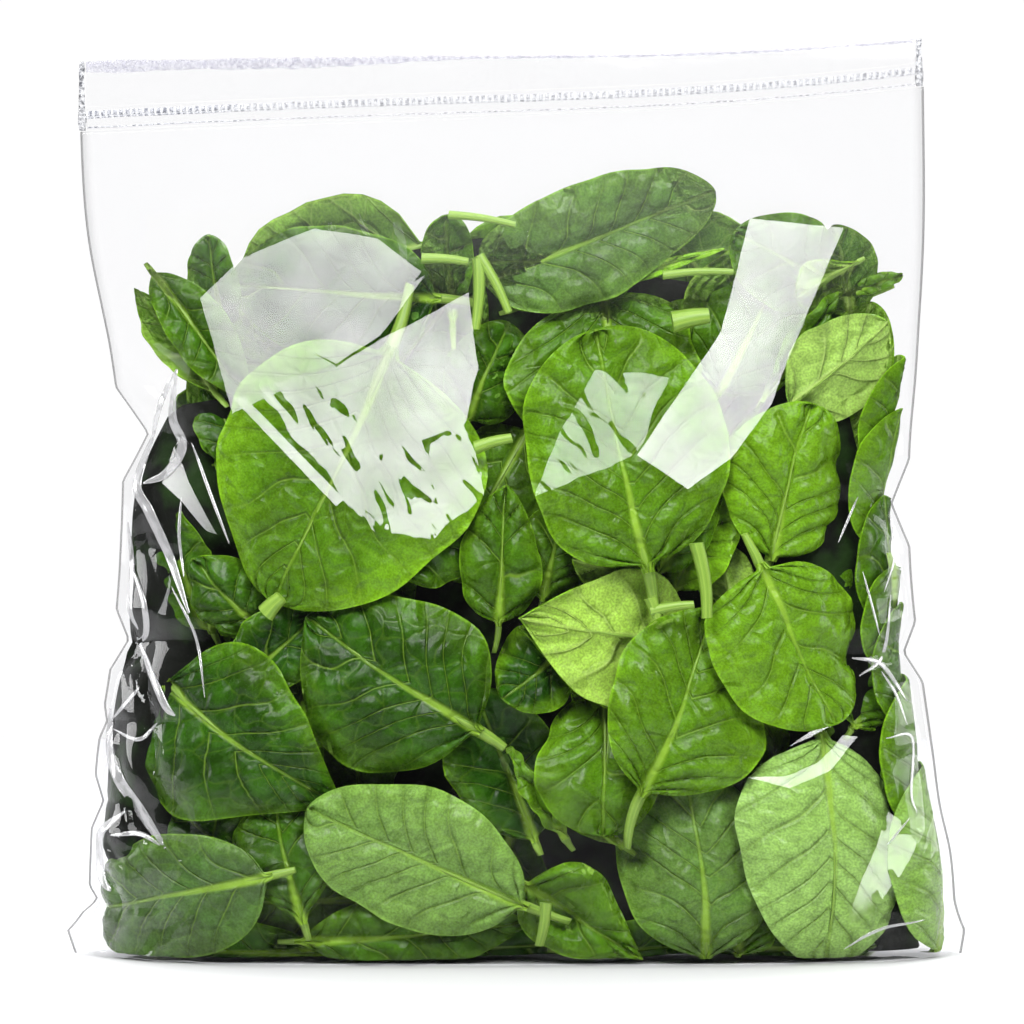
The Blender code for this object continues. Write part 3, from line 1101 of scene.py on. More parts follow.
@dataclass(frozen=True)
class LeafFinish:
    """Fresh spinach leaf: a waxy blade with sunken veins over, raised veins under."""

    name: str
    deep: str
    middle: str
    light: str
    vein: str
    roughness: float
    gloss: float
    vein_height: float
    vein_strength: float
    net_strength: float
    rib_strength: float
    glow: float
    bloom: str = "9dba7c"
    vein_width: float = 0.10
    rib_width: float = 0.0085
    relief: float = 0.0011

    def build(self) -> Material:
        """Builds the blade's material.

        Returns:
            The material.
        """
        material, add = new_material(self.name)
        flat = add("UVMap", uv_map="flat")
        veins = add("UVMap", uv_map="veins")
        tint = add("Attribute", attribute_name="leaf_tint", out="Color")
        tone, margin, pale = add("SeparateColor", {"Color": tint}).node.outputs
        count, side, _ = add("SeparateXYZ", {"Vector": veins}).node.outputs
        reach = add("Math", (side,), operation="ABSOLUTE")
        near = add("Math", (count, 0.5), operation="PINGPONG")
        fade = add("MapRange", (reach, 0.30, 1.0, 1.0, 0.25), **EASED)
        crease = add("MapRange", (near, 0.0, self.vein_width, 1.0, 0.0), **EASED)
        crease = add("Math", (crease, fade), operation="MULTIPLY")
        second = add("MapRange", (near, 0.0, self.vein_width * 0.42, 1.0, 0.0), **EASED)
        second = add("Math", (second, fade), operation="MULTIPLY")
        off = add("Math", (add("SeparateXYZ", {"Vector": flat}),), operation="ABSOLUTE")
        along = add("SeparateXYZ", {"Vector": add("UVMap", uv_map="span")}, out="Y")
        taper = add("MapRange", (along, 0.0, 0.65, self.rib_width * 2, self.rib_width * 0.7), **EASED)
        rib = add("Math", (off, taper), operation="DIVIDE")
        rib = add("MapRange", (rib, 0.35, 1.3, 1.0, 0.0), **EASED)
        juicy = add("MapRange", (along, 0.05, 0.75, 1.0, 0.35), **EASED)
        warp = add("TexNoise", {"Vector": flat, "Scale": 14.0, "Detail": 0.0}, out="Color")
        moved = add("MixRGB", (0.08, flat, warp), blend_type="ADD")
        cells = {"feature": "DISTANCE_TO_EDGE", "voronoi_dimensions": "2D", "out": "Distance"}
        net = add("TexVoronoi", {"Vector": moved, "Scale": 13.0}, **cells)
        lines = add("MapRange", (net, 0.0, 0.07, 1.0, 0.0), **EASED)
        domes = add("MapRange", (net, 0.0, 0.34, 0.0, 1.0), **EASED)
        cloud = add("TexNoise", {"Vector": flat, "Scale": 6.0, "Detail": 2.0})
        patch = add("MapRange", (cloud, 0.35, 0.65, 0.0, 1.0), **EASED)
        ground = add("MixRGB", (patch, linear(self.deep), linear(self.middle)))
        rim = add("MapRange", (reach, 0.45, 1.0, 0.0, 0.6), **EASED)
        rim = add("Math", (rim, margin), operation="MULTIPLY")
        edge = add("MapRange", (reach, 0.955, 1.0, 0.0, 0.5), **EASED)
        rim = add("Math", (rim, edge), operation="ADD")
        light = add("Math", (tone, rim), operation="ADD", use_clamp=True)
        lit = add("MixRGB", (light, ground, linear(self.light)))
        lit = add("MixRGB", (pale, lit, linear(self.bloom)))
        speck = add("TexNoise", {"Vector": flat, "Scale": 150.0, "Detail": 1.0})
        grain = add("MapRange", (speck, 0.3, 0.7, 0.80, 1.20), **EASED)
        ripple = add("TexNoise", {"Vector": flat, "Scale": 30.0, "Detail": 3.0})
        # Mottling from the same noise that raises the ripple bumps: lighter on their crowns and darker
        # in their dips, partly random tone and partly painted shade.
        ripple_mottle_and_shade = add("MapRange", (ripple, 0.30, 0.70, 0.87, 1.13), **EASED)
        grain = add("Math", (grain, ripple_mottle_and_shade), operation="MULTIPLY")
        # Darker along the side veins: on the blade, where they run in sunken grooves, this is painted
        # shade in the grooves.
        vein_groove_shade = add("MapRange", (near, 0.0, 0.26, 0.80, 1.05), **EASED)
        grain = add("Math", (grain, vein_groove_shade), operation="MULTIPLY")
        grained_and_shaded = add("MixRGB", (1.0, lit, grain), blend_type="MULTIPLY")
        amount = add("Math", (second, self.vein_strength), operation="MULTIPLY")
        amount = add(
            "Math", (lines, self.net_strength, amount), operation="MULTIPLY_ADD", use_clamp=True,
        )
        strong = add("Math", (rib, juicy), operation="MULTIPLY")
        strong = add("Math", (strong, self.rib_strength), operation="MULTIPLY")
        amount = add("Math", (amount, strong), operation="MAXIMUM")
        veined = add("MixRGB", (amount, grained_and_shaded, linear(self.vein)))
        both = add("Math", (crease, rib), operation="MAXIMUM")
        domes = add("Math", (domes, 0.6), operation="MULTIPLY")
        relief = add("Math", (both, self.vein_height, domes), operation="MULTIPLY_ADD")
        relief = add("Math", (ripple, 0.4, relief), operation="MULTIPLY_ADD")
        bump = add("Bump", {"Height": relief, "Strength": 0.62, "Distance": self.relief})
        shine = add(
            "MapRange", (ripple, 0.3, 0.7, self.roughness - 0.06, self.roughness + 0.1), **EASED,
        )
        blade = add(
            "BsdfPrincipled",
            {
                "Base Color": veined, "Roughness": shine, "IOR": 1.45, "Specular IOR Level": self.gloss,
                "Normal": bump,
            },
        )
        glow = add("BsdfTranslucent", {"Color": veined, "Normal": bump})
        mixed = add("MixShader", (self.glow, blade, glow))
        return finish_material(material, mixed)


@dataclass(frozen=True)
class StalkFinish:
    """Spinach stalk: pale, juicy and finely ribbed along its length."""

    name: str = "spinach_stalk"
    green: str = "648c26"
    pale: str = "97b84c"
    roughness: float = 0.38

    def build(self) -> Material:
        """Builds the stalk's material.

        Returns:
            The material.
        """
        material, add = new_material(self.name)
        flat = add("UVMap", uv_map="flat")
        stretched = add("Mapping", {"Vector": flat, "Scale": (160.0, 1.6, 1.0)})
        fibre = add("TexNoise", {"Vector": stretched, "Scale": 1.0, "Detail": 2.0})
        share = add("MapRange", (fibre, 0.3, 0.7, 0.0, 1.0))
        colour = add("MixRGB", (share, linear(self.green), linear(self.pale)))
        bump = add("Bump", {"Height": fibre, "Strength": 0.4, "Distance": 0.0002})
        shader = add(
            "BsdfPrincipled",
            {"Base Color": colour, "Roughness": self.roughness, "IOR": 1.42, "Normal": bump},
        )
        return finish_material(material, shader)


@dataclass(frozen=True)
class Facet:
    """A patch of the front film whose shading normal, not its form, is turned so that it mirrors
    a soft box to the front: a painted reflection, made stronger by its gain.

    Corners are in millimetres, across and up, running clockwise round a convex outline.
    """

    corners: tuple[tuple[float, float], ...]
    right: bool = False
    ragged: float = 0.6
    holes: float = 0.0
    gain: float = 1.9

    def normal(self) -> tuple[float, float, float]:
        """The direction halfway between the viewer and the soft box."""
        eye = math.radians(CAMERA_ELEVATION)
        rise = math.radians(KEY_ELEVATION)
        turn = math.radians(KEY_AZIMUTH) * (1 if self.right else -1)
        light = Vector(
            (math.sin(turn) * math.cos(rise), -math.cos(turn) * math.cos(rise), math.sin(rise))
        )
        middle = light + Vector((0.0, -math.cos(eye), math.sin(eye)))
        return tuple(middle.normalized())


@dataclass(frozen=True)
class Crease:
    """A sharp fold that stands up from the front film. Lengths are in millimetres."""

    places: tuple[tuple[float, float], ...]
    width: float
    height: float = 0.5


LEFT_SHEENS: tuple[Facet, ...] = (
    Facet(
        ((-94, 197), (-82, 209), (-60, 218), (-41, 215), (-28, 205), (-40, 188), (-63, 182)), gain=2.0,
    ),
    Facet(((-94, 197), (-53, 177.4), (-84, 163)), gain=1.75),
    Facet(((-63, 182), (-27, 204), (-40, 186), (-53, 178)), ragged=0.9, gain=2.4),
    Facet(
        ((-53, 178), (-38, 186), (-14, 200), (-11, 176), (-15, 160), (-43, 150)), ragged=1.2, gain=2.6,
    ),
    Facet(
        ((-76, 170), (-53, 178), (-15, 160), (-10, 148), (-10, 138), (-24, 127), (-43, 129)),
        ragged=5.0, holes=0.41, gain=2.6,
    ),
    Facet(((-84, 167.5), (-80.5, 168), (-50.5, 138), (-53, 136)), ragged=0.2, gain=2.9),
    Facet(((-105.4, 142), (-102, 153), (-97, 142), (-98.6, 136)), ragged=0.8, gain=1.3),
    Facet(((-98.6, 136), (-97, 142), (-88.6, 127), (-92.2, 128.5)), ragged=0.8, gain=1.2),
)

RIGHT_SHEENS: tuple[Facet, ...] = (
    Facet(((61, 187), (70, 221), (98, 218), (81, 179)), right=True, gain=1.95),
    Facet(((50.5, 172), (61, 187), (81, 179), (76, 166)), right=True, gain=2.1),
    Facet(((36, 151), (50.5, 172), (76, 166), (64, 150), (51, 141)), right=True, gain=1.9),
    Facet(
        ((5.5, 139), (12, 156), (24, 176), (46, 174), (38, 156), (36, 151)), right=True, ragged=2.5,
        holes=0.42, gain=0.85,
    ),
)

LOW_SHEENS: tuple[Facet, ...] = (
    Facet(((68, 57.5), (87, 69.2), (106, 74.6), (87, 67.6)), right=True, ragged=0.8, gain=2.1),
    Facet(((68.5, 56), (80, 56.6), (81, 53)), right=True, ragged=1.0, gain=2.0),
    Facet(((80, 56.6), (89.5, 60), (93, 57.6), (81, 53)), right=True, ragged=1.0, gain=1.3),
    Facet(((89.5, 60), (97, 68), (101.5, 67.3), (93, 57.6)), right=True, ragged=1.0, gain=1.1),
    Facet(
        (
            (110.7, 44.5), (121.6, 38.6), (117.5, 30.4), (107.8, 16), (97.5, 4.2), (96.3, 7.1),
            (100.4, 19.5),
        ),
        right=True, ragged=2.5, holes=0.4, gain=0.42,
    ),
)

SHEENS = {"left": LEFT_SHEENS, "right": RIGHT_SHEENS, "low": LOW_SHEENS}

CREASES: tuple[Crease, ...] = (
    Crease(
        ((-108, 157.4), (-113.3, 141.8), (-109.5, 133.3), (-103.3, 120.6), (-96.9, 103.9)), 3.2, 1.0,
    ),
    Crease(((-99.5, 138), (-100.1, 126.2), (-98.6, 114.5)), 1.0),
    Crease(((-96.6, 154.1), (-91.3, 140.9), (-84.8, 124.7)), 1.0),
    Crease(((-101, 176), (-102.5, 161.8), (-99.5, 153.2), (-104.2, 145), (-111.3, 141.8)), 3.0, 1.0),
    Crease(((-101, 176), (-106, 166), (-109, 154)), 1.8, 0.8),
    Crease(((-113.5, 95.5), (-108.3, 85), (-103.9, 76.2), (-101, 73.5)), 2.4, 0.8),
    Crease(((-121, 70.9), (-111.3, 82.1)), 1.2),
    Crease(
        ((-121.6, 74), (-121.6, 61.5), (-118.3, 53.3), (-112.4, 45.7), (-107.7, 39.2), (-103.9, 34.2)),
        3.6, 1.2,
    ),
    Crease(((-103.9, 34.2), (-112, 38), (-121, 37)), 1.4),
    Crease(((-116.6, 44.2), (-124, 37.4), (-124.6, 28.6), (-123.4, 22.7), (-119.5, 19.5)), 2.8, 1.0),
    Crease(((-116.2, 130), (-115, 117), (-115.5, 104), (-113, 98)), 1.8),
    Crease(((-115.2, 117), (-111, 106), (-110.5, 97), (-114, 93.5)), 2.0, 0.8),
    Crease(((-102.4, 111.5), (-94.8, 96.8), (-91.9, 79.2)), 0.9),
    Crease(((-120.6, 68), (-112, 66), (-106.5, 71)), 1.2),
    Crease(((102.2, 138), (96, 124.7)), 0.7, 0.3),
    Crease(((112.6, 132), (113.6, 120.3), (110.1, 109.5)), 0.8, 0.3),
    Crease(((103.4, 115.9), (106.3, 105.6), (108.6, 96.8)), 0.7, 0.3),
    Crease(((102.2, 85), (109.8, 90.9), (112.2, 108.6)), 1.1, 0.4),
    Crease(((100, 90.5), (109.2, 88), (117, 77)), 1.3, 0.4),
    Crease(((109.2, 86), (113.6, 79), (117, 70)), 0.8, 0.3),
    Crease(((110.1, 66.5), (118.6, 65.9), (118.1, 49.8), (119.8, 43.9)), 1.0, 0.4),
    Crease(((110.3, 35.1), (117.4, 42.4)), 0.7, 0.3),
    Crease(((97.5, 4.5), (108, 10), (122, 12)), 1.0, 0.4),
)


@dataclass(frozen=True)
class FilmFinish:
    """Clear polythene: glossy, hardly tinted, milkier where it lies off the leaves, with painted grey
    shade towards its side edges and on its seams.
    """

    name: str
    facets: tuple[Facet, ...] = ()
    mirror: float = 0.0065
    sheen: float = 0.016
    folded_mirror: float = 0.035
    roughness: float = 0.035
    wrinkle: float = 0.0004
    haze: float = 0.003
    fog: float = 0.05
    seam: float = 0.6
    # The grey diffuse colour towards the side edges and on the seams, and the extra milk near the edges
    # above the leaves, are painted shade where the film turns edge-on; the seam line itself is a real
    # weld.
    edge_painted_shade: float = 0.30
    rim: float = 0.10
    rim_span: tuple = (0.458, 0.4905)

    def build(self) -> Material:
        """Builds the film's material.

        Returns:
            The material.
        """
        material, add = new_material(self.name)
        place = add("TexCoord", out="Object")
        stretched = add("Mapping", {"Vector": place, "Scale": (90.0, 90.0, 28.0)})
        ripple = add("TexNoise", {"Vector": stretched, "Scale": 1.0, "Detail": 1.0})
        faceted, gain = self._faceted(add, place)
        normal = add(
            "Bump", {"Height": ripple, "Strength": 0.24, "Distance": self.wrinkle, "Normal": faceted},
        )
        facing = add("LayerWeight", {"Blend": 0.5, "Normal": normal}, out="Facing")
        grazing = add("Math", (facing, 5.0), operation="POWER")
        x, _, z = add("SeparateXYZ", {"Vector": place}).node.outputs
        left = add("MapRange", (x, -0.108, -0.088, 1.0, 0.0), **EASED)
        right = add("MapRange", (x, 0.088, 0.108, 0.0, 0.35), **EASED)
        beside = add("Math", (left, right), operation="ADD")
        packed = add("MapRange", (z, 0.150, 0.175, 1.0, 0.0), **EASED)
        folded = add("Math", (beside, packed), operation="MULTIPLY")
        least = add("Math", (folded, self.folded_mirror, self.mirror), operation="MULTIPLY_ADD")
        mirror = add("Math", (grazing, 0.8, least), operation="MULTIPLY_ADD", use_clamp=True)
        # Inside the sheen patches the mirror is made stronger: painted reflections of the soft boxes.
        if gain is not None:
            mirror = add("Math", (gain, self.sheen, mirror), operation="MULTIPLY_ADD", use_clamp=True)
        clear = add("BsdfTransparent", {"Color": (0.985, 0.985, 0.99, 1.0)})
        # Under the sheen patches the film passes less light, which paints shade over the leaves behind.
        if gain is not None:
            sheen_painted_shade = add("MapRange", (gain, 1.1, 2.4, 0.985, 0.72), **EASED)
            material.node_tree.links.new(sheen_painted_shade, clear.node.inputs["Color"])
        gloss = add(
            "BsdfGlossy",
            {"Color": (1.0, 1.0, 1.0, 1.0), "Roughness": self.roughness, "Normal": normal},
        )
        sheet = add("MixShader", (mirror, clear, gloss))
        height = add("SeparateXYZ", {"Vector": place}, out="Z")
        risen = add("MapRange", (height, 0.185, 0.225, 0.0, self.fog), **EASED)
        milk = add("Math", (risen, self.haze), operation="ADD")
        across = add("SeparateXYZ", {"Vector": add("UVMap")})
        off = add("Math", (across, 0.5), operation="SUBTRACT")
        off = add("Math", (off,), operation="ABSOLUTE")
        seam = add("MapRange", (off, 0.4912, 0.4926, 0.0, self.seam), **EASED)
        slack = add("MapRange", (z, 0.150, 0.185, 0.0, 1.0), **EASED)
        rim = add("MapRange", (off, *self.rim_span, 0.0, self.rim), **EASED)
        rim = add("Math", (slack, rim), operation="MULTIPLY")
        milk = add("Math", (milk, rim), operation="ADD")
        milk = add("Math", (milk, seam), operation="ADD", use_clamp=True)
        # Greyer towards the side edges: painted shade of the film turning edge-on.
        shade = add("MapRange", (off, *self.rim_span, 0.63, self.edge_painted_shade), **EASED)
        white = add("BsdfDiffuse", {"Color": shade})
        mixed = add("MixShader", (milk, sheet, white))
        return finish_material(material, mixed)

    def _faceted(self, add: Adder, place: NodeSocket) -> tuple[NodeSocket, NodeSocket | None]:
        """Swaps the film's shading direction for each sheen patch's inside its outline, painting a soft
        box's reflection there.

        Args:
            add: Adds the material's nodes.
            place: The socket of places on the film.

        Returns:
            The direction and how many times stronger the film mirrors there.
        """
        base = add("NewGeometry", out="Normal")
        if not self.facets:
            return base, None
        wavy = add("TexNoise", {"Vector": place, "Scale": 110.0, "Detail": 2.0}, out="Color")
        offset = add("VectorMath", (wavy, (0.5, 0.5, 0.5)), operation="SUBTRACT")
        turned = add("Mapping", {"Vector": place, "Rotation": (0.0, math.radians(32), 0.0)})
        blotch = add("Mapping", {"Vector": turned, "Scale": (200.0, 1.0, 65.0)})
        blots = add("TexNoise", {"Vector": blotch, "Scale": 1.0, "Detail": 2.0, "Distortion": 0.8})
        cloudy = add("TexNoise", {"Vector": place, "Scale": 55.0, "Detail": 3.0})
        cloudy = add("MapRange", (cloudy, 0.3, 0.7, 0.72, 1.22), **EASED)
        normal = base
        gain = 0.0
        # Each outline swaps in its own shading normal and mirror gain, clouded and holed by noise, to
        # paint a soft box's reflection there.
        for facet in self.facets:
            moved = add(
                "VectorMath", (offset, (facet.ragged * MM,) * 3, place), operation="MULTIPLY_ADD",
            )
            x, _, z = add("SeparateXYZ", {"Vector": moved}).node.outputs
            mask = None
            for start, end in zip(facet.corners, facet.corners[1:] + facet.corners[:1]):
                inside = self._half_plane(add, (x, z), start, end)
                mask = inside if mask is None else add("Math", (mask, inside), operation="MULTIPLY")
            if facet.holes:
                solid = add("Math", (blots, 1 - facet.holes), operation="LESS_THAN")
                mask = add("Math", (mask, solid), operation="MULTIPLY")
            normal = add("Mix", {0: mask, 4: normal, 5: facet.normal()}, data_type="VECTOR", out=1)
            more = add("Math", (cloudy, facet.gain), operation="MULTIPLY")
            gain = add("Mix", {0: mask, 2: gain, 3: more}, data_type="FLOAT")
        normal = add("VectorMath", (normal,), operation="NORMALIZE")
        return normal, gain

    @staticmethod
    def _half_plane(
        add: Adder, place: tuple, start: tuple[float, float], end: tuple[float, float],
    ) -> NodeSocket:
        """Is 1 to the right of the line from one corner to the next, looking along it."""
        across = (end[0] - start[0]) * MM
        up = (end[1] - start[1]) * MM
        level = up * start[0] * MM - across * start[1] * MM
        part = add("Math", (place[0], up), operation="MULTIPLY")
        total = add("Math", (place[1], -across, part), operation="MULTIPLY_ADD")
        return add("Math", (total, level), operation="GREATER_THAN")


@dataclass(frozen=True)
class Film:
    """The bag's clear film: a closed skin of front, back, base and seams."""

    form: BagForm
    across: int = 216
    up: int = 176
    base_rows: int = 20
    crowding: float = 0.85
    weld_start: float = 0.991
    floor_gap: float = 0.0002

    def columns(self, even: Array) -> Array:
        """Crowds even places across, from -1 to 1, towards the two edges."""
        turn = math.pi / 2 * self.crowding
        return np.sin(even * turn) / math.sin(turn)

    def welded(self, place: Array, depth: Array) -> Array:
        """Depths with the film drawn thin at its welded edges and shut at their ends."""
        thin = self.form.seam_half * (1.02 - np.abs(place)) * 30
        depth = np.where(np.abs(place) > self.weld_start, thin, depth)
        return np.where(np.abs(place) > 0.9999, 0.0, depth)

    def crumple(self, x: Array, height: Array, front: bool) -> Array:
        """How far in the film is creased at each place.

        Args:
            x: Places across.
            height: Heights.
            front: Whether they are on the front.

        Returns:
            Depths inwards in metres.
        """
        seed = 21 if front else 31
        warp = Noise(seed).at(x / 0.030, height / 0.040)
        fine = Noise(seed + 1).ridges(x / 0.014 + warp, height / 0.042 + 0.6 * warp)
        broad = Noise(seed + 2).ridges(x / 0.024 + 0.8 * warp, height / 0.060)
        cross = Noise(seed + 3).ridges(x / 0.035, height / 0.016 + 0.7 * warp)
        left = ramp(-x, 0.078, 0.112) * (1 - ramp(height, 0.165, 0.200))
        right = ramp(x, 0.098, 0.120) * (1 - ramp(height, 0.170, 0.200))
        low = ramp(np.abs(x), 0.070, 0.110) * (1 - ramp(height, 0.020, 0.050))
        side = np.maximum(np.maximum(left, 0.35 * right), 0.5 * low)
        general = 0.10 if front else 0.55
        general *= 1 - ramp(height, 0.150, 0.190)
        amount = np.maximum(side, general)
        deep = amount * (0.0044 * broad**1.5 + 0.0008 * fine**1.5 + 0.0006 * cross**1.5)
        slack = Noise(seed + 4).at(x / 0.055, height / 0.075)
        swell = 0.0011 * slack * ramp(height, 0.0, 0.02)
        folds = Noise(seed + 5).ridges(x / 0.020 + 0.4 * warp, height / 0.120)
        high = 0.0002 * folds**2 * ramp(height, 0.190, 0.215)
        return (deep + swell + high) * ramp(self.form.mouth(x) - height, 0.0, 0.02)

    def wall(self, x: Array, height: Array, front: bool) -> Array:
        """Distance of the creased film from the middle plane at each place.

        Args:
            x: Places across.
            height: Heights.
            front: Whether they are on the front.

        Returns:
            Distances in metres.
        """
        depth = self.form.half_depth(x, height)
        room = np.clip(depth - self.form.seam_half, 0, None)
        return depth - np.minimum(self.crumple(x, height, front), room * 0.8)

    def sheet(self, front: bool) -> Object:
        """One side of the bag.

        Args:
            front: Whether it is the front.

        Returns:
            The sheet.
        """
        sheet = new_grid("film_front" if front else "film_back", self.across, self.up)
        raw = points_of(sheet)
        place = self.columns(raw[:, 0])
        share = (raw[:, 1] + 1) / 2
        x, height = self.form.row_x(place, share)
        wanted = self.wall(x, height, front)
        wave = Noise(77).at(height / 0.018, height * 0 + np.sign(place) * 3.3) * 0.0012
        sway = wave * ramp(np.abs(place), 0.9, 1.0) * ramp(height, 0.004, 0.03)
        sway *= 1 - ramp(height, 0.19, 0.23)
        wanted = self.welded(place, wanted)
        y = (-wanted if front else wanted) + sway
        set_points(sheet, np.column_stack([x, y, np.maximum(height, self.floor_gap)]))
        if not front:
            edit(sheet, lambda: bpy.ops.mesh.flip_normals())
        return sheet

    @staticmethod
    def dress_sheens(front: Object) -> None:
        """Gives the front's faces round each group of painted sheen patches that group's material."""
        count = len(front.data.polygons)
        centres = np.empty(count * 3)
        front.data.polygons.foreach_get("center", centres)
        across, _, up = centres.reshape(-1, 3).T / MM
        slots = np.zeros(count, np.int32)
        for slot, facets in enumerate(SHEENS.values(), 1):
            corners = np.array([corner for facet in facets for corner in facet.corners])
            low, high = corners.min(axis=0) - 5, corners.max(axis=0) + 5
            inside = (across > low[0]) & (across < high[0]) & (up > low[1]) & (up < high[1])
            slots[inside] = slot
        front.data.polygons.foreach_set("material_index", slots)

    def closing(self, top: bool) -> Object:
        """The film under the bag, or the strip that shuts it inside the zipper.

        Args:
            top: Whether it is the strip at the top.

        Returns:
            The closing sheet.
        """
        rows = 1 if top else self.base_rows
        sheet = new_grid("film_top" if top else "film_base", self.across, rows)
        raw = points_of(sheet)
        place = self.columns(raw[:, 0])
        share = np.ones_like(place) if top else np.zeros_like(place)
        x, height = self.form.row_x(place, share)
        front_y = self.welded(place, self.wall(x, height, True))
        back_y = self.welded(place, self.wall(x, height, False))
        side = (raw[:, 1] + 1) / 2
        y = -front_y + side * (front_y + back_y)
        set_points(sheet, np.column_stack([x, y, np.maximum(height, self.floor_gap)]))
        if not top:
            edit(sheet, lambda: bpy.ops.mesh.flip_normals())
        return sheet

    def crease(self, fold: Crease) -> Object:
        """A slender raised fold that follows a line on the front film.

        Args:
            fold: Its line and size.

        Returns:
            The fold.
        """
        count = 10 * (len(fold.places) - 1)
        tube = new_grid("fold", 8, count)
        raw = points_of(tube)
        share = (raw[:, 1] + 1) / 2
        knots = np.linspace(0, 1, len(fold.places))
        lines = [[(k, p[axis] * MM) for k, p in zip(knots, fold.places)] for axis in (0, 1)]
        x, z = (through(line, share) for line in lines)
        ahead = np.clip(share + 0.01, 0, 1)
        behind = np.clip(share - 0.01, 0, 1)
        dx, dz = (through(line, ahead) - through(line, behind) for line in lines)
        run = np.hypot(dx, dz) + 1e-9
        turn = np.pi * raw[:, 0]
        taper = np.sin(np.pi * np.clip(share, 0.02, 0.98)) ** 0.5
        out = np.cos(turn) * fold.width * MM / 2 * taper
        lift = np.sin(turn) * fold.height * MM / 2 * taper
        x = x - dz / run * out
        z = z + dx / run * out
        depth = self.form.half_depth(x, z) - self.crumple(x, z, True)
        y = -np.maximum(depth, self.form.seam_half) - 0.0002 - lift
        set_points(tube, np.column_stack([x, y, z]))
        close_ends(tube)
        return tube

    def build(self) -> None:
        """Builds the film and hands it over."""
        front = self.sheet(True)
        others = [self.sheet(False), self.closing(False), self.closing(True)]
        plain = FilmFinish("clear_film").build()
        for sheet in (front, *others):
            sheet.data.materials.append(plain)
        for name, facets in SHEENS.items():
            front.data.materials.append(FilmFinish(f"clear_film_{name}", facets).build())
        self.dress_sheens(front)
        folds = [self.crease(fold) for fold in CREASES]
        thick = FilmFinish("folded_film", mirror=0.2, roughness=0.24, haze=0.32).build()
        for fold in folds:
            fold.data.materials.append(thick)
        film = join([front, *others], "bag_film")
        weld(film, 2e-6)
        smooth(film, 180)
        keep(film, "clear_film", "bag_body")
        if folds:
            creases = join(folds, "film_folds")
            smooth(creases, 80)
            keep(creases, "clear_film", "bag_body")


@dataclass(frozen=True)
class ZipperFinish:
    """Clear polyethylene zipper: milky where it is thick, pressed into short teeth."""

    name: str
    milk: float
    tooth_pitch: float = 1.9 * MM
    toothed: bool = True
    colour: str = "eef0f6"
    shade: str = "7c7e88"
    relief: float = 0.4 * MM
    left_milk: float = 1.0

    def build(self) -> Material:
        """Builds the zipper's material.

        Returns:
            The material.
        """
        material, add = new_material(self.name)
        place = add("TexCoord", out="Object")
        across = add("SeparateXYZ", {"Vector": place}, out="X")
        wander = add("TexNoise", {"Vector": place, "Scale": 60.0, "Detail": 2.0})
        moved = add("Math", (wander, 2.0 * MM, across), operation="MULTIPLY_ADD")
        count = add("Math", (moved, self.tooth_pitch), operation="DIVIDE")
        near = add("Math", (count, 0.5), operation="PINGPONG")
        tooth = add("MapRange", (near, 0.12, 0.34, 0.0, 1.0), **EASED)
        blur = add("TexNoise", {"Vector": place, "Scale": 900.0, "Detail": 2.0})
        grain = add("MapRange", (blur, 0.35, 0.65, 0.0, 1.0), **EASED)
        dark = add("Math", (tooth if self.toothed else grain, grain), operation="MULTIPLY")
        tint = add("MixRGB", (dark, linear(self.colour), linear(self.shade)))
        height = tooth if self.toothed else grain
        bump = add("Bump", {"Height": height, "Strength": 0.8, "Distance": self.relief})
        facing = add("LayerWeight", {"Blend": 0.5, "Normal": bump}, out="Facing")
        grazing = add("Math", (facing, 3.0), operation="POWER")
        mirror = add("Math", (grazing, 0.6, 0.008), operation="MULTIPLY_ADD")
        clear = add("BsdfTransparent", {"Color": (0.995, 0.995, 0.997, 1.0)})
        gloss = add("BsdfGlossy", {"Roughness": 0.12, "Normal": bump})
        skin = add("MixShader", (mirror, clear, gloss))
        body = add("BsdfDiffuse", {"Color": tint, "Normal": bump})
        thick = add("Math", (dark, self.milk, self.milk * 0.5), operation="MULTIPLY_ADD")
        pressed = add("MapRange", (across, -0.105, -0.070, self.left_milk, 1.0), **EASED)
        thick = add("Math", (thick, pressed), operation="MULTIPLY", use_clamp=True)
        mixed = add("MixShader", (thick, skin, body))
        return finish_material(material, mixed)


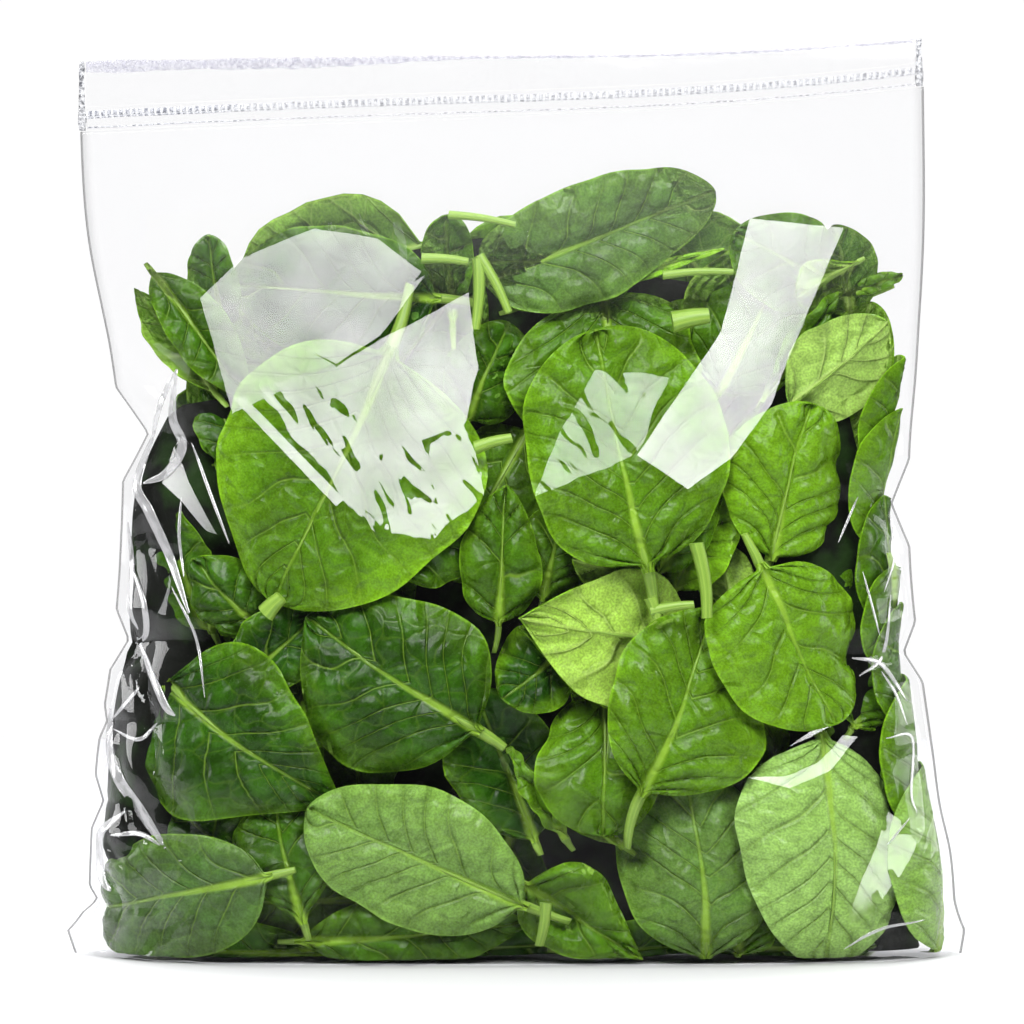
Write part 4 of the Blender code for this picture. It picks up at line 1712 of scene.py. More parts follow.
@dataclass(frozen=True)
class Zipper:
    """The shut zipper, the two lips above it and its crushed ends."""

    form: BagForm
    end_width: float = 2.6 * MM
    strip_front: float = 0.9 * MM
    lip_left_rise: float = 17.2 * MM
    lip_right_rise: float = 10.8 * MM
    columns: int = 360

    def lip_top(self, x: Array) -> Array:
        """Height of the lips' upper edge over each x."""
        share = self.share(x)
        rise = self.lip_left_rise + (self.lip_right_rise - self.lip_left_rise) * share
        return self.form.zip_height(x) + rise

    def share(self, x: Array) -> Array:
        """How far along the zipper each x is."""
        return (x - self.form.left_x) / (self.form.right_x - self.form.left_x)

    def ends(self) -> tuple[float, float]:
        """Where the strips and lips start and stop between the crushed ends."""
        return self.form.left_x + self.end_width, self.form.right_x - self.end_width

    def sway(self, x: Array, rise: Array) -> Array:
        """How far back the lips lean at shares of their height."""
        flare = 3.0 * MM * 2 * np.clip(self.share(x) - 0.5, 0, None)
        return (0.9 * MM * np.sin(2 * np.pi * x / 0.105) + flare) * rise**2

    def lean(self, x: Array, rise: Array, side: int) -> Array:
        """Depth of the lip on one side at shares of its height."""
        gap = 0.75 * MM + 0.25 * MM * np.sin(2 * np.pi * x / 0.068 + side) * rise
        return side * gap + self.sway(x, rise)

    def swept(
        self, name: str, profile: Sequence[tuple[float, float]], low: float, high: float,
    ) -> Object:
        """Runs a closed profile along the zipper's line.

        Args:
            name: The piece's name.
            profile: Depth and height of each corner, in metres from the zipper's line.
            low: The lowest x.
            high: The highest x.

        Returns:
            The swept bar.
        """
        bar = new_grid(name, len(profile), self.columns)
        raw = points_of(bar)
        corner = np.rint((raw[:, 0] + 1) / 2 * len(profile)).astype(int) % len(profile)
        outline = np.array(profile)[corner]
        x = low + (raw[:, 1] + 1) / 2 * (high - low)
        wobble = 0.12 * MM * Noise(91).at(x / 0.004, x * 0 + 0.5)
        z = self.form.zip_height(x) + outline[:, 1] + wobble * np.sign(outline[:, 1])
        set_points(bar, np.column_stack([x, outline[:, 0], z]))
        close_ends(bar)
        return bar

    @staticmethod
    def rounded(
        half_depth: float, half_height: float, middle: tuple[float, float] = (0.0, 0.0),
    ) -> list[tuple[float, float]]:
        """The corners of an eight-sided rounded profile."""
        turns = [2 * math.pi * step / 8 for step in range(8)]
        return [
            (
                middle[0] + math.cos(turn) * half_depth, middle[1] + math.sin(turn) * half_height,
            ) for turn in turns
        ]

    def track(self, front: bool) -> list[Object]:
        """One strip of the zipper: a thin flange with its interlocking ribs.

        Args:
            front: Whether it is the front strip, which carries the channel.

        Returns:
            The flange and its ribs.
        """
        side = -1 if front else 1
        low, high = self.ends()
        inner = self.strip_front * side
        outer = (self.strip_front + 0.45 * MM) * side
        half = self.form.strip_half
        flange = self.swept(
            "flange", ((inner, -half), (outer, -half), (outer, half), (inner, half)), low, high,
        )
        parts = [flange]
        places = ((1.5, 0.8), (-2.6, 0.22)) if front else ((0.4, 0.3),)
        for middle, thickness in places:
            outline = self.rounded(0.42 * MM, thickness * MM, (outer, middle * MM))
            parts.append(self.swept("rib", outline, low, high))
        return parts

    def lip(self, front: bool) -> Object:
        """One lip above the zipper: a thin, gently rippled sheet; its hem is a piece of its own.

        Args:
            front: Whether it is the front lip.

        Returns:
            The lip.
        """
        sheet = new_grid("lip_front_film" if front else "lip_back_film", self.columns, 22)
        raw = points_of(sheet)
        low, high = self.ends()
        x = low + (raw[:, 0] + 1) / 2 * (high - low)
        rise = (raw[:, 1] + 1) / 2
        base = self.form.zip_height(x) + self.form.strip_half + self.form.gap
        z = base + rise * (self.lip_top(x) - base)
        ripple = Noise(61 if front else 62).at(x / 0.009, rise * 2.0) * 0.30 * MM * rise
        y = self.lean(x, rise, -1 if front else 1) + ripple
        set_points(sheet, np.column_stack([x, y, z]))
        apply_modifier(sheet, "SOLIDIFY", thickness=0.12 * MM, offset=0.0, use_even_offset=False)
        return sheet

    def hem(self, front: bool) -> Object:
        """The thick edge along the top of a lip."""
        low, high = self.ends()
        bar = self.swept("hem", self.rounded(0.3 * MM, 0.45 * MM), low, high)
        points = points_of(bar)
        x = points[:, 0]
        points[:, 1] += self.lean(x, np.ones_like(x), -1 if front else 1)
        tall = 1 + 2.6 * (1 - ramp(self.share(x), 0.25, 0.50))
        rise = (points[:, 2] - self.form.zip_height(x) - 0.45 * MM) * tall
        points[:, 2] = self.lip_top(x) + rise
        set_points(bar, points)
        return bar

    def end(self, right: bool) -> Object:
        """A crushed and welded end of the zipper and lips.

        Args:
            right: Whether it is the right end.

        Returns:
            The end.
        """
        name = "crushed_end_right" if right else "crushed_end_left"
        post = new_grid(name, 16, 60)
        raw = points_of(post)
        turn = np.pi * raw[:, 0]
        rise = (raw[:, 1] + 1) / 2
        edge = self.form.right_x if right else self.form.left_x
        middle = edge - (1 if right else -1) * self.end_width / 2
        line = np.full(len(rise), middle)
        low = self.form.zip_height(line) - self.form.strip_half
        z = low + rise * (self.lip_top(line) - low)
        at_zip = np.exp(-(((z - self.form.zip_height(line)) / (3.2 * MM)) ** 2))
        crush = Noise(71 + right).at(z / (3.0 * MM), turn * 0.8)
        half_x = self.end_width / 2 * (0.55 + 0.40 * at_zip + 0.25 * crush)
        half_x = np.minimum(half_x, self.end_width / 2)
        half_y = 0.35 * MM + 1.0 * MM * at_zip + 0.25 * MM * crush
        x = middle + np.cos(turn) * half_x
        y = np.sin(turn) * half_y + self.sway(line, np.clip(rise * 1.2 - 0.2, 0, 1)) * 0.9
        set_points(post, np.column_stack([x, y, z]))
        close_ends(post)
        return post

    @staticmethod
    def hand_over(parts: list[tuple[Object, Material]], name: str, kind: str, node: str) -> None:
        """Joins parts, each in its own finish, into one piece in place of a node."""
        for part, finish in parts:
            part.data.materials.append(finish)
        piece = join([part for part, _ in parts], name)
        smooth(piece, 40)
        keep(piece, kind, node)

    def build(self) -> None:
        """Builds the strips, lips and ends and hands them over."""
        strip = ZipperFinish("zipper_strip", 0.30, left_milk=2.0).build()
        film = ZipperFinish("lip_film", 0.005, toothed=False, relief=0.06 * MM).build()
        hem = ZipperFinish(
            "lip_hem", 0.16, toothed=False, colour="c9c8d8", shade="a3a1b4", relief=0.05 * MM,
        ).build()
        crushed = ZipperFinish("crushed_zipper", 0.40, toothed=False, shade="4e5058").build()
        tracks = ((True, "zip_channel", "zip_channel_strip"), (False, "zip_rib", "zip_rib_strip"))
        for front, name, node in tracks:
            flange, *ribs = self.track(front)
            parts = [(flange, film)] + [(rib, strip) for rib in ribs]
            self.hand_over(parts, name, "zip_plastic", node)
        lips = ((True, "lip_sheet_front", "lip_front"), (False, "lip_sheet_back", "lip_back"))
        for front, name, node in lips:
            parts = [(self.lip(front), film), (self.hem(front), hem)]
            self.hand_over(parts, name, "clear_film", node)
        welds = ((False, "weld_left", "zip_end_left"), (True, "weld_right", "zip_end_right"))
        for right, name, node in welds:
            self.hand_over([(self.end(right), crushed)], name, "zip_plastic", node)


@dataclass(frozen=True)
class Studio:
    """A white table, two soft boxes over the camera and a bright backdrop."""

    distance: float = 1.8
    elevation: float = CAMERA_ELEVATION
    aim: tuple[float, float, float] = (-0.001, 0.0, 0.133)
    view_width: float = 0.3072

    def aimed(self, data: Camera | Light, away: Vector) -> Object:
        """Puts a camera or a light some way off, looking at the bag."""
        thing = bpy.data.objects.new(data.name, data)
        bpy.context.scene.collection.objects.link(thing)
        aim = Vector(self.aim)
        thing.location = aim + away
        thing.rotation_euler = (aim - thing.location).to_track_quat("-Z", "Y").to_euler()
        return thing

    def camera(self) -> None:
        """Sets the camera in front of the bag, a little above its middle."""
        data = bpy.data.cameras.new("camera")
        data.sensor_width = 36.0
        data.lens = 36.0 * self.distance / self.view_width
        data.clip_end = 100.0
        tilt = math.radians(self.elevation)
        away = Vector((0.0, -self.distance * math.cos(tilt), self.distance * math.sin(tilt)))
        bpy.context.scene.camera = self.aimed(data, away)

    def soft_box(
        self, name: str, azimuth: float, elevation: float, reach: float, size: float, power: float,
        mirrored_only: bool = False,
    ) -> None:
        """Hangs a square soft box that looks at the bag.

        Args:
            name: The light's name.
            azimuth: Degrees round from the front, to the right.
            elevation: Degrees above the bag's middle.
            reach: Distance from the bag.
            size: Side of the box.
            power: Watts.
            mirrored_only: Whether it only shows in glossy things.
        """
        data = bpy.data.lights.new(name, "AREA")
        data.shape = "SQUARE"
        data.size = size
        data.energy = power
        turn = math.radians(azimuth)
        tilt = math.radians(elevation)
        light = self.aimed(
            data,
            reach * Vector(
                (math.sin(turn) * math.cos(tilt), -math.cos(turn) * math.cos(tilt), math.sin(tilt))
            ),
        )
        light.visible_camera = False
        light.visible_diffuse = not mirrored_only
        light.visible_transmission = not mirrored_only

    def world(self) -> None:
        """A white backdrop to the eye, and a room that is dim in front and bright behind."""
        world = bpy.data.worlds.new("studio")
        bpy.context.scene.world = world
        world.use_nodes = True
        tree = world.node_tree
        tree.nodes.clear()
        add = partial(add_node, tree)
        place = add("TexCoord", out="Generated")
        _, y, _ = add("SeparateXYZ", {"Vector": place}).node.outputs
        behind = add("MapRange", (y, -0.2, 0.5, 0.0, 1.0), **EASED)
        room = add("MixRGB", (behind, (0.06, 0.06, 0.065, 1), (0.80, 0.80, 0.82, 1)))
        direct = add("LightPath", out="Is Camera Ray")
        seen = add("MixRGB", (direct, room, (1.012, 1.012, 1.012, 1)))
        sky = add("Background", {"Color": seen, "Strength": 1.0})
        out = tree.nodes.new("ShaderNodeOutputWorld")
        tree.links.new(sky, out.inputs["Surface"])

    def floor(self) -> None:
        """Lays the pale table top."""
        bpy.ops.mesh.primitive_plane_add(size=1.0)
        floor = bpy.context.object
        floor.name = "table_top"
        points = points_of(floor)
        points[:, 0] *= 2.4
        points[:, 1] = points[:, 1] * 1.85 - 0.125
        points[:, 2] = -0.0004
        set_points(floor, points)
        material, add = new_material("white_table")
        paint = add("BsdfPrincipled", {"Base Color": linear("cfcfd1"), "Roughness": 0.7})
        finish_material(material, paint)
        floor.data.materials.append(material)

    def build(self) -> None:
        """Sets up the light, the backdrop and the floor."""
        self.soft_box("soft_box_left", -KEY_AZIMUTH, KEY_ELEVATION, 1.35, 0.6, 15.0)
        self.soft_box("soft_box_right", KEY_AZIMUTH, KEY_ELEVATION, 1.35, 0.47, 13.0)
        self.soft_box("soft_box_top", 180.0, 82.0, 1.3, 1.1, 16.0)
        self.soft_box("soft_box_back_left", -135.0, 40.0, 1.5, 0.5, 7.0)
        self.soft_box("soft_box_back_right", 135.0, 40.0, 1.5, 0.5, 7.0)
        self.soft_box("soft_box_side_left", -104.0, 10.0, 1.2, 0.5, 5.0, True)
        self.soft_box("soft_box_side_right", 104.0, 10.0, 1.2, 0.5, 5.0, True)
        self.world()
        self.floor()
        scene = bpy.context.scene
        scene.view_settings.view_transform = "Standard"
        scene.cycles.transparent_max_bounces = 16
        scene.cycles.max_bounces = 4
        scene.cycles.diffuse_bounces = 2
        scene.cycles.glossy_bounces = 2
        scene.cycles.transmission_bounces = 1
        scene.cycles.caustics_reflective = False
        scene.cycles.caustics_refractive = False


def leaf_materials() -> tuple[Material, Material, Material]:
    """Builds the blade, underside and stalk materials."""
    blade = LeafFinish(
        "spinach_blade", deep="143304", middle="2a5707", light="78ab1c", vein="93bb3c", roughness=0.26,
        gloss=0.20, vein_height=-0.75, vein_strength=0.34, net_strength=0.08, rib_strength=0.85,
        glow=0.06,
    )
    under = LeafFinish(
        "spinach_underside", deep="3f6a1a", middle="5c8a2c", light="9ac148", vein="b4d070",
        roughness=0.5, gloss=0.25, vein_height=1.0, vein_strength=0.45, net_strength=0.18,
        rib_strength=0.7, glow=0.10,
    )
    return blade.build(), under.build(), StalkFinish().build()


HEROES: tuple[LeafPose, ...] = (
    LeafPose(
        OVAL, (120, 0), (127, 58), 34, stalk=3, seen=False, tone=0.75, pale=0.3, curl=3, arch=5,
        ruffle=0.1, relief=0.2, seed=25,
    ),
    LeafPose(
        OVAL, (122, 34), (124, 84), 30, stalk=3, seen=False, tone=0.32, curl=3, arch=5, ruffle=0.1,
        relief=0.2, seed=54,
    ),
    LeafPose(
        OVAL, (126, 62), (120, 106), 28, stalk=3, seen=False, tone=0.18, curl=3, arch=5, ruffle=0.1,
        relief=0.2, seed=76,
    ),
    LeafPose(
        ROUND, (118, 118), (122, 84), 26, stalk=3, seen=False, tone=0.25, curl=3, arch=5, ruffle=0.1,
        relief=0.2, seed=51,
    ),
    LeafPose(
        OVAL, (123, 96), (118, 138), 28, stalk=3, seen=False, tone=0.12, curl=3, arch=5, ruffle=0.1,
        relief=0.2, seed=50,
    ),
    LeafPose(
        OVAL, (118, 120), (123, 164), 28, stalk=3, seen=False, tone=0.42, curl=3, arch=5, ruffle=0.1,
        relief=0.2, seed=48,
    ),
    LeafPose(
        SPOON, (120, 134), (124, 180), 24, stalk=3, seen=False, curl=3, arch=5, ruffle=0.1, relief=0.2,
        seed=77,
    ),
    LeafPose(
        OVAL, (-72, 27), (-136, 12), 38, stalk=6, tone=0.04, pale=0.12, curl=5, arch=8, ruffle=0.3,
        relief=0.6, seed=20,
    ),
    LeafPose(
        ROUND, (-37, 183), (-74, 107), 81, stalk=19, yellow=0.7, curl=6, arch=8, relief=0.8, seed=1,
    ),
    LeafPose(ROUND, (74, 119), (98, 71), 50, stalk=9, tone=0.58, curl=5, arch=12, seed=2),
    LeafPose(ROUND, (40, 116), (24, 188), 62, stalk=11, tone=0.36, curl=9, arch=12, relief=1.5, seed=3),
    LeafPose(OVAL, (37, 50), (62, 105), 47, stalk=16, tone=0.38, curl=10, arch=14, relief=1.2, seed=4),
    LeafPose(
        OVAL, (95, 69), (93, -3), 54, stalk=8, tone=1.0, pale=0.45, curl=6, arch=14, relief=0.8, seed=5,
    ),
    LeafPose(
        OVAL, (4, 17), (-62, 47), 41, stalk=12, tone=0.48, pale=0.25, curl=6, arch=16, stalk_bend=1.0,
        seed=6,
    ),
    LeafPose(POINTED, (-110, 84), (-50, 45), 54, stalk=3, tone=0.03, arch=12, relief=1.2, seed=7),
    LeafPose(OVAL, (-10, 69), (-64, 103), 54, stalk=8, tone=0.04, curl=9, arch=12, relief=1.2, seed=8),
    LeafPose(ROUND, (79, 119), (90, 166), 40, stalk=6, tone=0.62, curl=6, seed=9),
    LeafPose(POINTED, (57, 93), (1, 103), 42, stalk=6, underside=True, tone=1.0, curl=9, seed=10),
    LeafPose(POINTED, (52, 86), (1, 100), 36, stalk=0, tone=0.12, curl=9, seed=11),
    LeafPose(OVAL, (-5, 100), (-3, 142), 24, stalk=8, tone=0.18, curl=14, arch=14, relief=1.3, seed=12),
    LeafPose(ROUND, (17, 94), (-4, 79), 25, stalk=6, tone=0, yellow=1.0, curl=13, arch=14, seed=13),
    LeafPose(ROUND, (27, 81), (26, 38), 36, stalk=6, curl=22, arch=18, seed=14),
    LeafPose(NARROW, (15, 37), (-2, 64), 8, fold=40, curl=13, seed=15),
    LeafPose(NARROW, (33, 34), (0, 60), 6, tone=0.25, fold=50, curl=13, seed=16),
    LeafPose(OVAL, (57, 0), (52, 57), 47, tone=0.24, pale=0.12, curl=6, seed=17),
    LeafPose(POINTED, (2, 24), (38, 1), 27, stalk=6, tone=0.28, arch=14, seed=18),
    LeafPose(ROUND, (67, 1), (69, 30), 24, tone=0.15, curl=13, arch=14, seed=19),
    LeafPose(SPOON, (-63, 12), (-74, 50), 31, stalk=5, tone=0.1, curl=13, arch=12, seed=21),
    LeafPose(OVAL, (-69, 22), (-108, 45), 25, stalk=3, tone=0.05, curl=13, arch=14, seed=22),
    LeafPose(NARROW, (-67, 6), (4, 11), 24, stalk=5, tone=0.16, curl=10, arch=16, seed=23),
    LeafPose(NARROW, (-56, 2), (-124, 3), 20, stalk=3, tone=0.05, curl=6, arch=14, seed=24),
    LeafPose(
        OVAL, (-110, 206), (-83, 168), 19, stalk=2, tone=0.12, fold=18, curl=17, arch=14, roll=10,
        seed=27,
    ),
    LeafPose(NARROW, (-92, 168), (-115, 200), 13, underside=True, tone=0.25, curl=10, seed=28),
    LeafPose(ROUND, (-90, 188), (-92, 216), 15, stalk=5, tone=0.1, curl=10, seed=29),
    LeafPose(OVAL, (-22, 197), (-87, 201), 44, stalk=12, tone=0.0, curl=10, arch=18, seed=30),
    LeafPose(SPOON, (-19, 188), (-21, 222), 15, stalk=6, tone=0.15, fold=12, curl=10, seed=31),
    LeafPose(
        ROUND, (-12, 201), (60, 229), 36, stalk=10, tone=0.16, pale=0.12, fold=10, curl=12, roll=-8,
        ruffle=2.4, seed=32,
    ),
    LeafPose(NARROW, (-3, 193), (63, 212), 5, stalk=2, tone=1.0, curl=16, arch=14, seed=33),
    LeafPose(OVAL, (39, 208), (-9, 208), 29, stalk=5, tone=0.08, curl=12, arch=16, seed=34),
    LeafPose(ROUND, (26, 200), (35, 147), 58, stalk=5, tone=0.2, curl=9, arch=14, relief=1.4, seed=35),
    LeafPose(ROUND, (-15, 160), (-2, 190), 25, tone=0.1, curl=12, arch=16, relief=1.4, seed=36),
    LeafPose(OVAL, (44, 114), (66, 156), 22, stalk=6, tone=0.2, curl=10, arch=12, seed=37),
    LeafPose(OVAL, (50, 109), (67, 147), 21, stalk=6, tone=0.6, curl=9, arch=12, seed=38),
    LeafPose(
        OVAL, (83, 164), (113, 190), 33, underside=True, tone=0.8, pale=0.2, curl=5, arch=6, ruffle=0.3,
        relief=0.6, seed=39,
    ),
    LeafPose(
        OVAL, (84, 160), (113, 176), 20, stalk=3, tone=0.25, curl=5, arch=6, ruffle=0.3, relief=0.5,
        seed=40,
    ),
    LeafPose(NARROW, (76, 166), (98, 199), 11, stalk=3, tone=0.22, fold=16, curl=13, seed=41),
    LeafPose(SPOON, (103, 208), (85, 197), 16, stalk=2, underside=True, tone=0.6, seed=42),
    LeafPose(NARROW, (100, 198), (117, 204), 6, stalk=1, fold=20, curl=20, seed=43),
    LeafPose(OVAL, (97, 200), (66, 217), 28, stalk=5, tone=0.12, curl=10, arch=16, seed=44),
    LeafPose(OVAL, (103, 191), (96, 219), 18, tone=0.1, curl=10, seed=45),
    LeafPose(
        NARROW, (102, 128), (109, 166), 22, underside=True, tone=0.5, curl=5, arch=6, ruffle=0.3,
        relief=0.4, seed=46,
    ),
    LeafPose(
        OVAL, (106, 132), (116, 166), 22, tone=0.45, curl=5, arch=6, ruffle=0.3, relief=0.4, seed=47,
    ),
    LeafPose(SPOON, (103, 156), (92, 168), 18, underside=True, tone=0.75, seed=49),
    LeafPose(OVAL, (106, 69), (114, 89), 22, tone=0.2, curl=5, arch=6, seed=52),
    LeafPose(ROUND, (96, 79), (110, 70), 20, tone=0.5, curl=5, arch=6, seed=53),
    LeafPose(OVAL, (42, 112), (17, 120), 18, underside=True, tone=0.6, seed=55),
    LeafPose(OVAL, (8, 107), (14, 136), 24, tone=0.2, curl=13, arch=14, seed=56),
    LeafPose(OVAL, (-39, 117), (-14, 138), 32, tone=0.1, curl=13, arch=14, relief=1.3, seed=57),
    LeafPose(OVAL, (-86, 82), (-59, 106), 25, tone=0.0, curl=10, arch=14, seed=58),
    LeafPose(ROUND, (21, 73), (28, 82), 15, stalk=3, curl=13, arch=12, seed=59),
    LeafPose(OVAL, (67, 103), (64, 125), 18, stalk=3, underside=True, tone=0.7, seed=60),
    LeafPose(OVAL, (-79, 97), (-98, 120), 21, tone=0.08, curl=16, arch=14, seed=61),
    LeafPose(NARROW, (-82, 138), (-98, 173), 18, tone=0.05, curl=16, arch=14, seed=62),
    LeafPose(OVAL, (-97, 97), (-108, 138), 18, tone=0.1, curl=16, arch=14, seed=63),
    LeafPose(OVAL, (-100, 50), (-114, 82), 18, tone=0.1, curl=16, arch=14, seed=64),
    LeafPose(OVAL, (99, 94), (117, 130), 28, curl=5, arch=6, ruffle=0.3, relief=0.4, seed=70),
    LeafPose(OVAL, (104, 28), (119, 66), 28, tone=0.4, curl=5, arch=6, ruffle=0.3, relief=0.4, seed=71),
    LeafPose(
        ROUND, (111, 58), (108, 100), 28, tone=0.12, curl=5, arch=6, ruffle=0.3, relief=0.4, seed=72,
    ),
    LeafPose(
        OVAL, (100, 150), (108, 196), 26, tone=0.4, curl=5, arch=6, ruffle=0.3, relief=0.4, seed=73,
    ),
    LeafPose(OVAL, (62, 168), (88, 217), 44, tone=0.2, seed=65),
    LeafPose(OVAL, (-44, 166), (-12, 206), 38, tone=0.05, seed=66),
    LeafPose(OVAL, (-98, 146), (-70, 192), 34, tone=0.05, seed=67),
    LeafPose(ROUND, (66, 150), (48, 196), 40, seed=68),
    LeafPose(OVAL, (-30, 172), (-88, 178), 40, tone=0.1, seed=69),
    LeafPose(OVAL, (6, 36), (-12, 82), 32, tone=0.0, seed=74),
    LeafPose(OVAL, (-118, 48), (-96, 18), 26, tone=0.02, seed=75),
    # These three low leaves get the darkest tones as painted shade along the foot of the bag.
    LeafPose(OVAL, (60, 3), (112, 4), 20, tone=0.05, curl=4, arch=5, seed=78),
    LeafPose(OVAL, (14, 3), (62, 4), 20, tone=0.05, curl=4, arch=5, seed=79),
    LeafPose(OVAL, (-30, 3), (16, 4), 20, tone=0.02, curl=4, arch=5, seed=80),
)

LOOSE_STALKS: tuple[StalkPose, ...] = (
    StalkPose((-28, 209), (-14, 208), 1.5), StalkPose((-11, 209), (-12, 188), 1.8),
    StalkPose((-11, 210), (-2, 193), 1.5), StalkPose((-20, 222), (0, 219), 1.2),
    StalkPose((47, 190), (58, 192), 3.0), StalkPose((44, 204), (65, 205), 1.2),
    StalkPose((54, 125), (57, 103), 2.1), StalkPose((-12, 153), (-1, 156), 1.8),
    StalkPose((-75, 104), (-70, 109), 2.7), StalkPose((9, 19), (7, 6), 1.5),
    StalkPose((40, 105), (53, 107), 1.5), StalkPose((40, 109), (42, 103), 1.8),
)


@dataclass(frozen=True)
class Heap:
    """All the spinach: leaves laid one by one at the front, and random ones elsewhere.

    A fit is the deepest hollow that a random leaf may bridge and the share of it that may
    come near the middle plane. A side's core pair gives how far behind the film the dark core,
    which is painted shade, may start and end.
    """

    form: BagForm
    ring: Ring
    front_clearance: float = 0.0013
    side_clearance: float = 0.0003
    back_clearance: float = 0.0035
    # left_core, right_core and core_foot bring the dark core, painted shade, close behind the film at
    # the sides and down under the lowest leaves.
    left_core: tuple = (0.0003, 0.0011)
    right_core: tuple = (0.0008, 0.0090)
    film_gap: float = 0.0007
    hidden_leaves: int = 12
    front_fit: tuple = (0.014, 0.12)
    rear_fit: tuple = (0.024, 0.45)
    core_foot: float = 0.0013
    core_tops: tuple = (
        (-0.120, 0.150), (-0.105, 0.174), (-0.085, 0.176), (-0.070, 0.200), (0.000, 0.206),
        (0.075, 0.206), (0.095, 0.200), (0.108, 0.168), (0.120, 0.150),
    )

    def clearance(self, around: Array, height: Array) -> Array:
        """Depth that the film's creases need at each place round the bag."""
        spread = np.abs(around)
        left = ramp(-around, 0.080, 0.102)
        right = ramp(around, 0.094, 0.112)
        side = np.maximum(left, right) * self.side_clearance
        back = ramp(spread, 0.118, 0.145) * self.back_clearance
        side *= 1 - ramp(spread, 0.135, 0.160)
        low = 0.0004 * (1 - ramp(height, 0.0, 0.03))
        top = 1 - 0.8 * ramp(height, 0.185, 0.215)
        front = self.front_clearance * (1 - 0.75 * ramp(spread, 0.106, 0.120))
        return (front + np.maximum(side, back) + low) * top

    def inside(self, points: Array) -> Array:
        """Draws points in until they lie a little behind the creased film.

        Args:
            points: Places, one a row.

        Returns:
            The places inside the film.
        """
        x, y, z = points.T
        packed, _ = self.form.seam_x(z, x > 0)
        middle = self.form.middle_x()
        x = middle + np.clip((x - middle) / (packed - middle), -0.995, 0.995) * (packed - middle)
        film = Film(self.form)
        behind = film.wall(x, z, True) - self.film_gap
        before = film.wall(x, z, False) - self.film_gap
        return np.column_stack([x, np.clip(y, -np.maximum(behind, 0), np.maximum(before, 0)), z])

    def ring_x(self, around: Array) -> Array:
        """The x at half height of each round distance."""
        return self.ring.points(around, np.full(len(around), 0.12), np.zeros(len(around)))[:, 0]

    def random_poses(
        self, count: int, place: tuple, rise: tuple, seed: int, flat: float = 1.0,
        packing: Packing | None = None,
    ) -> Iterator[LeafPose]:
        """Leaves strewn over a stretch of the wall.

        Args:
            count: How many leaves.
            place: Lowest and highest round distance in millimetres.
            rise: Lowest and highest height in millimetres.
            seed: Number that the random draws start from.
            flat: Share of the usual curls and turns that they have.
            packing: The leaves laid so far, where each leaf has to go to the barest spot.

        Yields:
            Their poses.
        """
        rng = random.Random(seed)
        kinds = [OVAL, OVAL, ROUND, SPOON]
        for index in range(count):
            middle = rng.uniform(*place), rng.uniform(*rise)
            if packing:
                spots = [(rng.uniform(*place), rng.uniform(*rise)) for _ in range(60)]
                middle = min(spots, key=lambda spot: self.covered(packing, spot))
            length = rng.uniform(42, 66)
            turn = rng.uniform(0, 2 * math.pi)
            flatten = 1.0 if middle[1] < 150 else 0.6
            across = math.cos(turn) * length / 2
            up = math.sin(turn) * length / 2 * flatten
            low = max(middle[1] - abs(up), 4)
            high = min(middle[1] + abs(up), 222)
            ends = (low, high) if up > 0 else (high, low)
            yield LeafPose(
                rng.choice(kinds), (middle[0] - across, ends[0]), (middle[0] + across, ends[1]),
                length * rng.uniform(0.58, 0.82), rng.uniform(3, 9), seen=False,
                underside=rng.random() < 0.22, tone=rng.uniform(0.05, 0.6),
                curl=rng.uniform(6, 26) * flat, arch=rng.uniform(6, 20) * flat,
                roll=rng.uniform(-12, 12) * flat, pitch=rng.uniform(-8, 8) * flat,
                relief=rng.uniform(0.8, 1.5), seed=seed * 1000 + index,
            )

    @staticmethod
    def covered(packing: Packing, spot: tuple[float, float]) -> float:
        """How deep the leaves already lie round a spot, given in millimetres."""
        over, up = np.meshgrid(np.linspace(-12, 12, 5), np.linspace(-12, 12, 5))
        around = (spot[0] + over.ravel()) * MM
        height = (spot[1] + up.ravel()) * MM
        return float(packing.under(around, height).mean())

    def core(self, packing: Packing) -> Object:
        """The leaves too deep to be seen, as one closed lumpy body whose dark colour is painted shade.

        Args:
            packing: How deep the leaves lie, which the core stays behind.

        Returns:
            The core.
        """
        body = new_grid("leaf_core_painted_shade", 120, 70)
        flat = points_of(body)
        around = flat[:, 0] * self.ring.ROUND / 2
        rise = (flat[:, 1] + 1) / 2
        top = through(self.core_tops, self.ring_x(around)) - 0.010
        foot = self.core_foot
        height = foot + (top - foot) * np.clip(rise / 0.8, 0, 1) ** 1.3
        lumps = Noise(5)
        bumps = lumps.at(np.cos(flat[:, 0] * np.pi) * 4, np.sin(flat[:, 0] * np.pi) * 4 + height * 40)
        closing = np.clip((rise - 0.8) / 0.2, 0, 1)
        opening = np.clip(1 - rise / 0.014, 0, 1)
        inner = np.maximum(closing, opening)
        # Beside the packed sides the core comes up close behind the creased film, so that its dark
        # colour shows there as painted shade under the creases.
        beside = ramp(np.abs(around), 0.086, 0.104) * (1 - ramp(np.abs(around), 0.126, 0.137))
        least = 0.013 + 0.003 * bumps + 0.006 * ramp(height, 0.10, 0.17)
        deep = np.maximum(packing.under(around, height) + 0.001, least)
        behind = packing.under(around, height) + 0.0004
        room = self.left_core[1] + 0.006 * (1 - ramp(height, 0.020, 0.034))
        left = np.clip(behind, self.left_core[0], room)
        right = np.clip(behind, *self.right_core)
        near = np.where(around < 0, left, right) + 0.0005 * (1 + bumps)
        depth = deep + (near - deep) * beside
        depth = np.minimum(depth, self.ring.room(around, height) + 0.0005)
        points = self.ring.points(around, height, depth)
        centre = np.array([self.form.middle_x(), 0.0])
        points[:, :2] = centre + (points[:, :2] - centre) * (1 - inner[:, None])
        points[:, 2] += 0.010 * np.sin(closing * np.pi / 2)
        set_points(body, self.inside(points))
        weld(body, 1e-5)
        smooth(body, 60)
        body.data.materials.append(painted_shade_core_material())
        return body

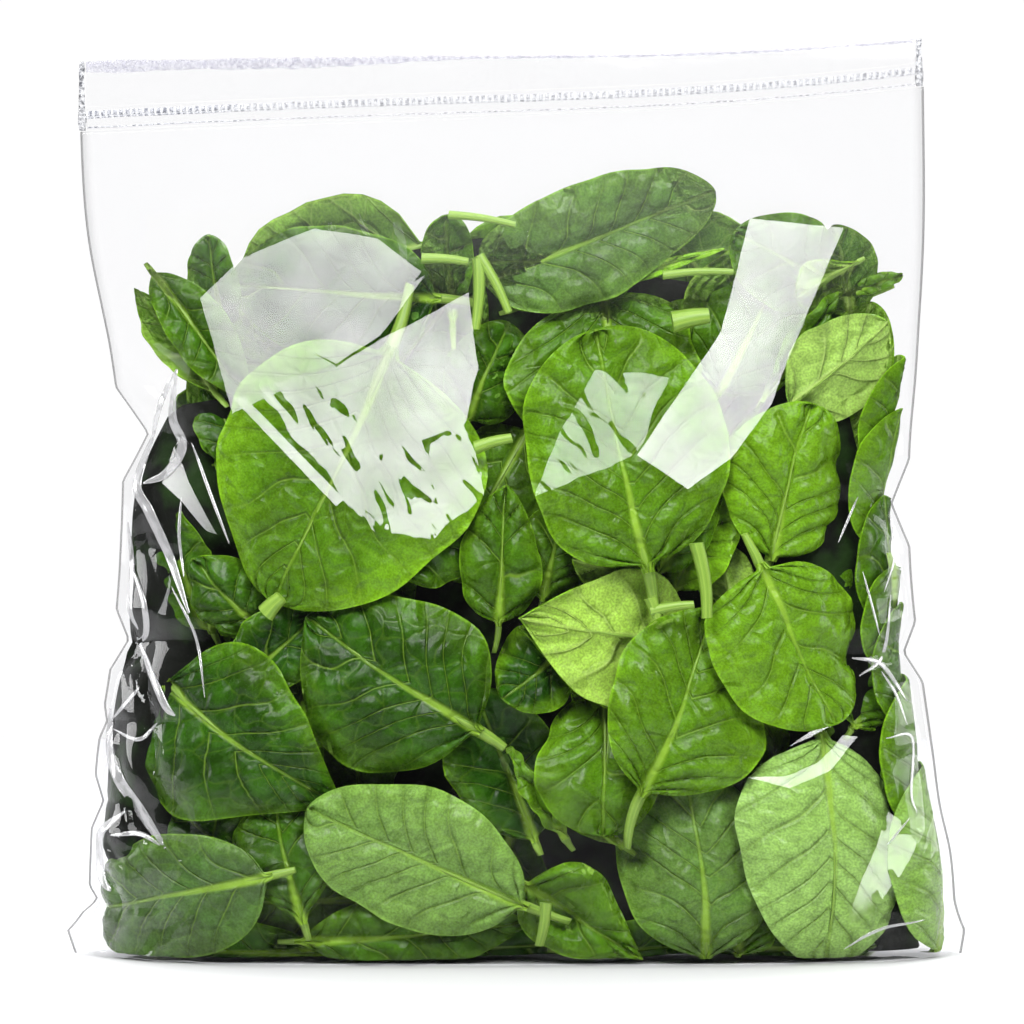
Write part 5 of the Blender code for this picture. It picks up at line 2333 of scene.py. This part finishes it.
    def build(self) -> None:
        """Lays all the leaves from the film inwards and hands the pieces over."""
        packing = Packing(self.ring, self.clearance)
        builder = LeafBuilder(self.ring, packing, *leaf_materials())
        packing.relax(2, 3)
        stalks = [builder.place_stalk(pose, FINE) for pose in LOOSE_STALKS]
        leaves = []
        for index, pose in enumerate(HEROES):
            packing.relax(2, 3)
            hidden = not pose.seen or index >= len(HEROES) - self.hidden_leaves
            leaves.append(builder.place(pose, MIDDLING if hidden else FINE))
        front = itertools.chain(
            self.random_poses(30, (-138, -98), (12, 165), 3, 0.35),
            self.random_poses(34, (98, 138), (12, 180), 4, 0.35),
            self.random_poses(60, (-105, 105), (16, 178), 1),
            self.random_poses(16, (-85, 85), (172, 204), 2),
        )
        rear = itertools.chain(
            self.random_poses(24, (150, 320), (186, 206), 6, 0.35, packing),
            self.random_poses(150, (143, 327), (14, 186), 5, 0.3, packing),
        )
        back = []
        packing.relax(3, 3)
        for fill, limits in ((front, self.front_fit), (rear, self.rear_fit)):
            for pose in fill:
                if builder.fits(pose, *limits):
                    back.append(builder.place(pose, COARSE))
                    packing.relax(3, 3)
        LOG.info("%d strewn leaves lie in the bag", len(back))
        for master in builder.masters.values():
            bpy.data.objects.remove(master)
        half = len(leaves) // 2
        for parts, name, kind in (
            (leaves[:half], "front_leaves", "spinach_leaf"),
            (leaves[half:], "inner_leaves", "spinach_leaf"), (back, "other_leaves", "spinach_leaf"),
            (stalks, "loose_stalks", "spinach_stem"),
        ):
            piece = join(parts, name)
            smooth(piece, 60)
            keep(piece, kind, "bag_body")
        packing.relax(4, 4)
        keep(self.core(packing), "spinach_leaf", "bag_body")


def painted_shade_core_material() -> Material:
    """Painted shade for the deep leaves seen between others: nearly black, green in spots, and lighter
    and greener towards the back, which is painted light from the bright room behind.
    """
    material, add = new_material("deep_leaves_painted_shade")
    place = add("TexCoord", out="Object")
    cloud = add("TexNoise", {"Vector": place, "Scale": 70.0, "Detail": 4.0})
    share = add("MapRange", (cloud, 0.48, 0.68, 0.0, 1.0), **EASED)
    # Near-black in front is painted shade; the lighter, greener colours towards the back are painted
    # light from the bright room behind.
    colour = add("MixRGB", (share, linear("0b0e08"), linear("1d3310")))
    back = add("MixRGB", (share, linear("18260e"), linear("34581c")))
    depth = add("SeparateXYZ", {"Vector": place}, out="Y")
    behind = add("MapRange", (depth, 0.000, 0.012, 0.0, 1.0), **EASED)
    colour = add("MixRGB", (behind, colour, back))
    bump = add("Bump", {"Height": cloud, "Strength": 0.6, "Distance": 0.004})
    shader = add(
        "BsdfPrincipled",
        {"Base Color": colour, "Roughness": 0.6, "Specular IOR Level": 0.1, "Normal": bump},
    )
    return finish_material(material, shader)


def main() -> None:
    """Builds the studio and every piece in order."""
    studio = Studio()
    studio.camera()
    studio.build()
    form = BagForm()
    ring = Ring(form)
    Heap(form, ring).build()
    Film(form).build()
    Zipper(form).build()


if __name__ == "__main__":
    logging.basicConfig(level=logging.INFO, format="%(name)s %(message)s")
    main()
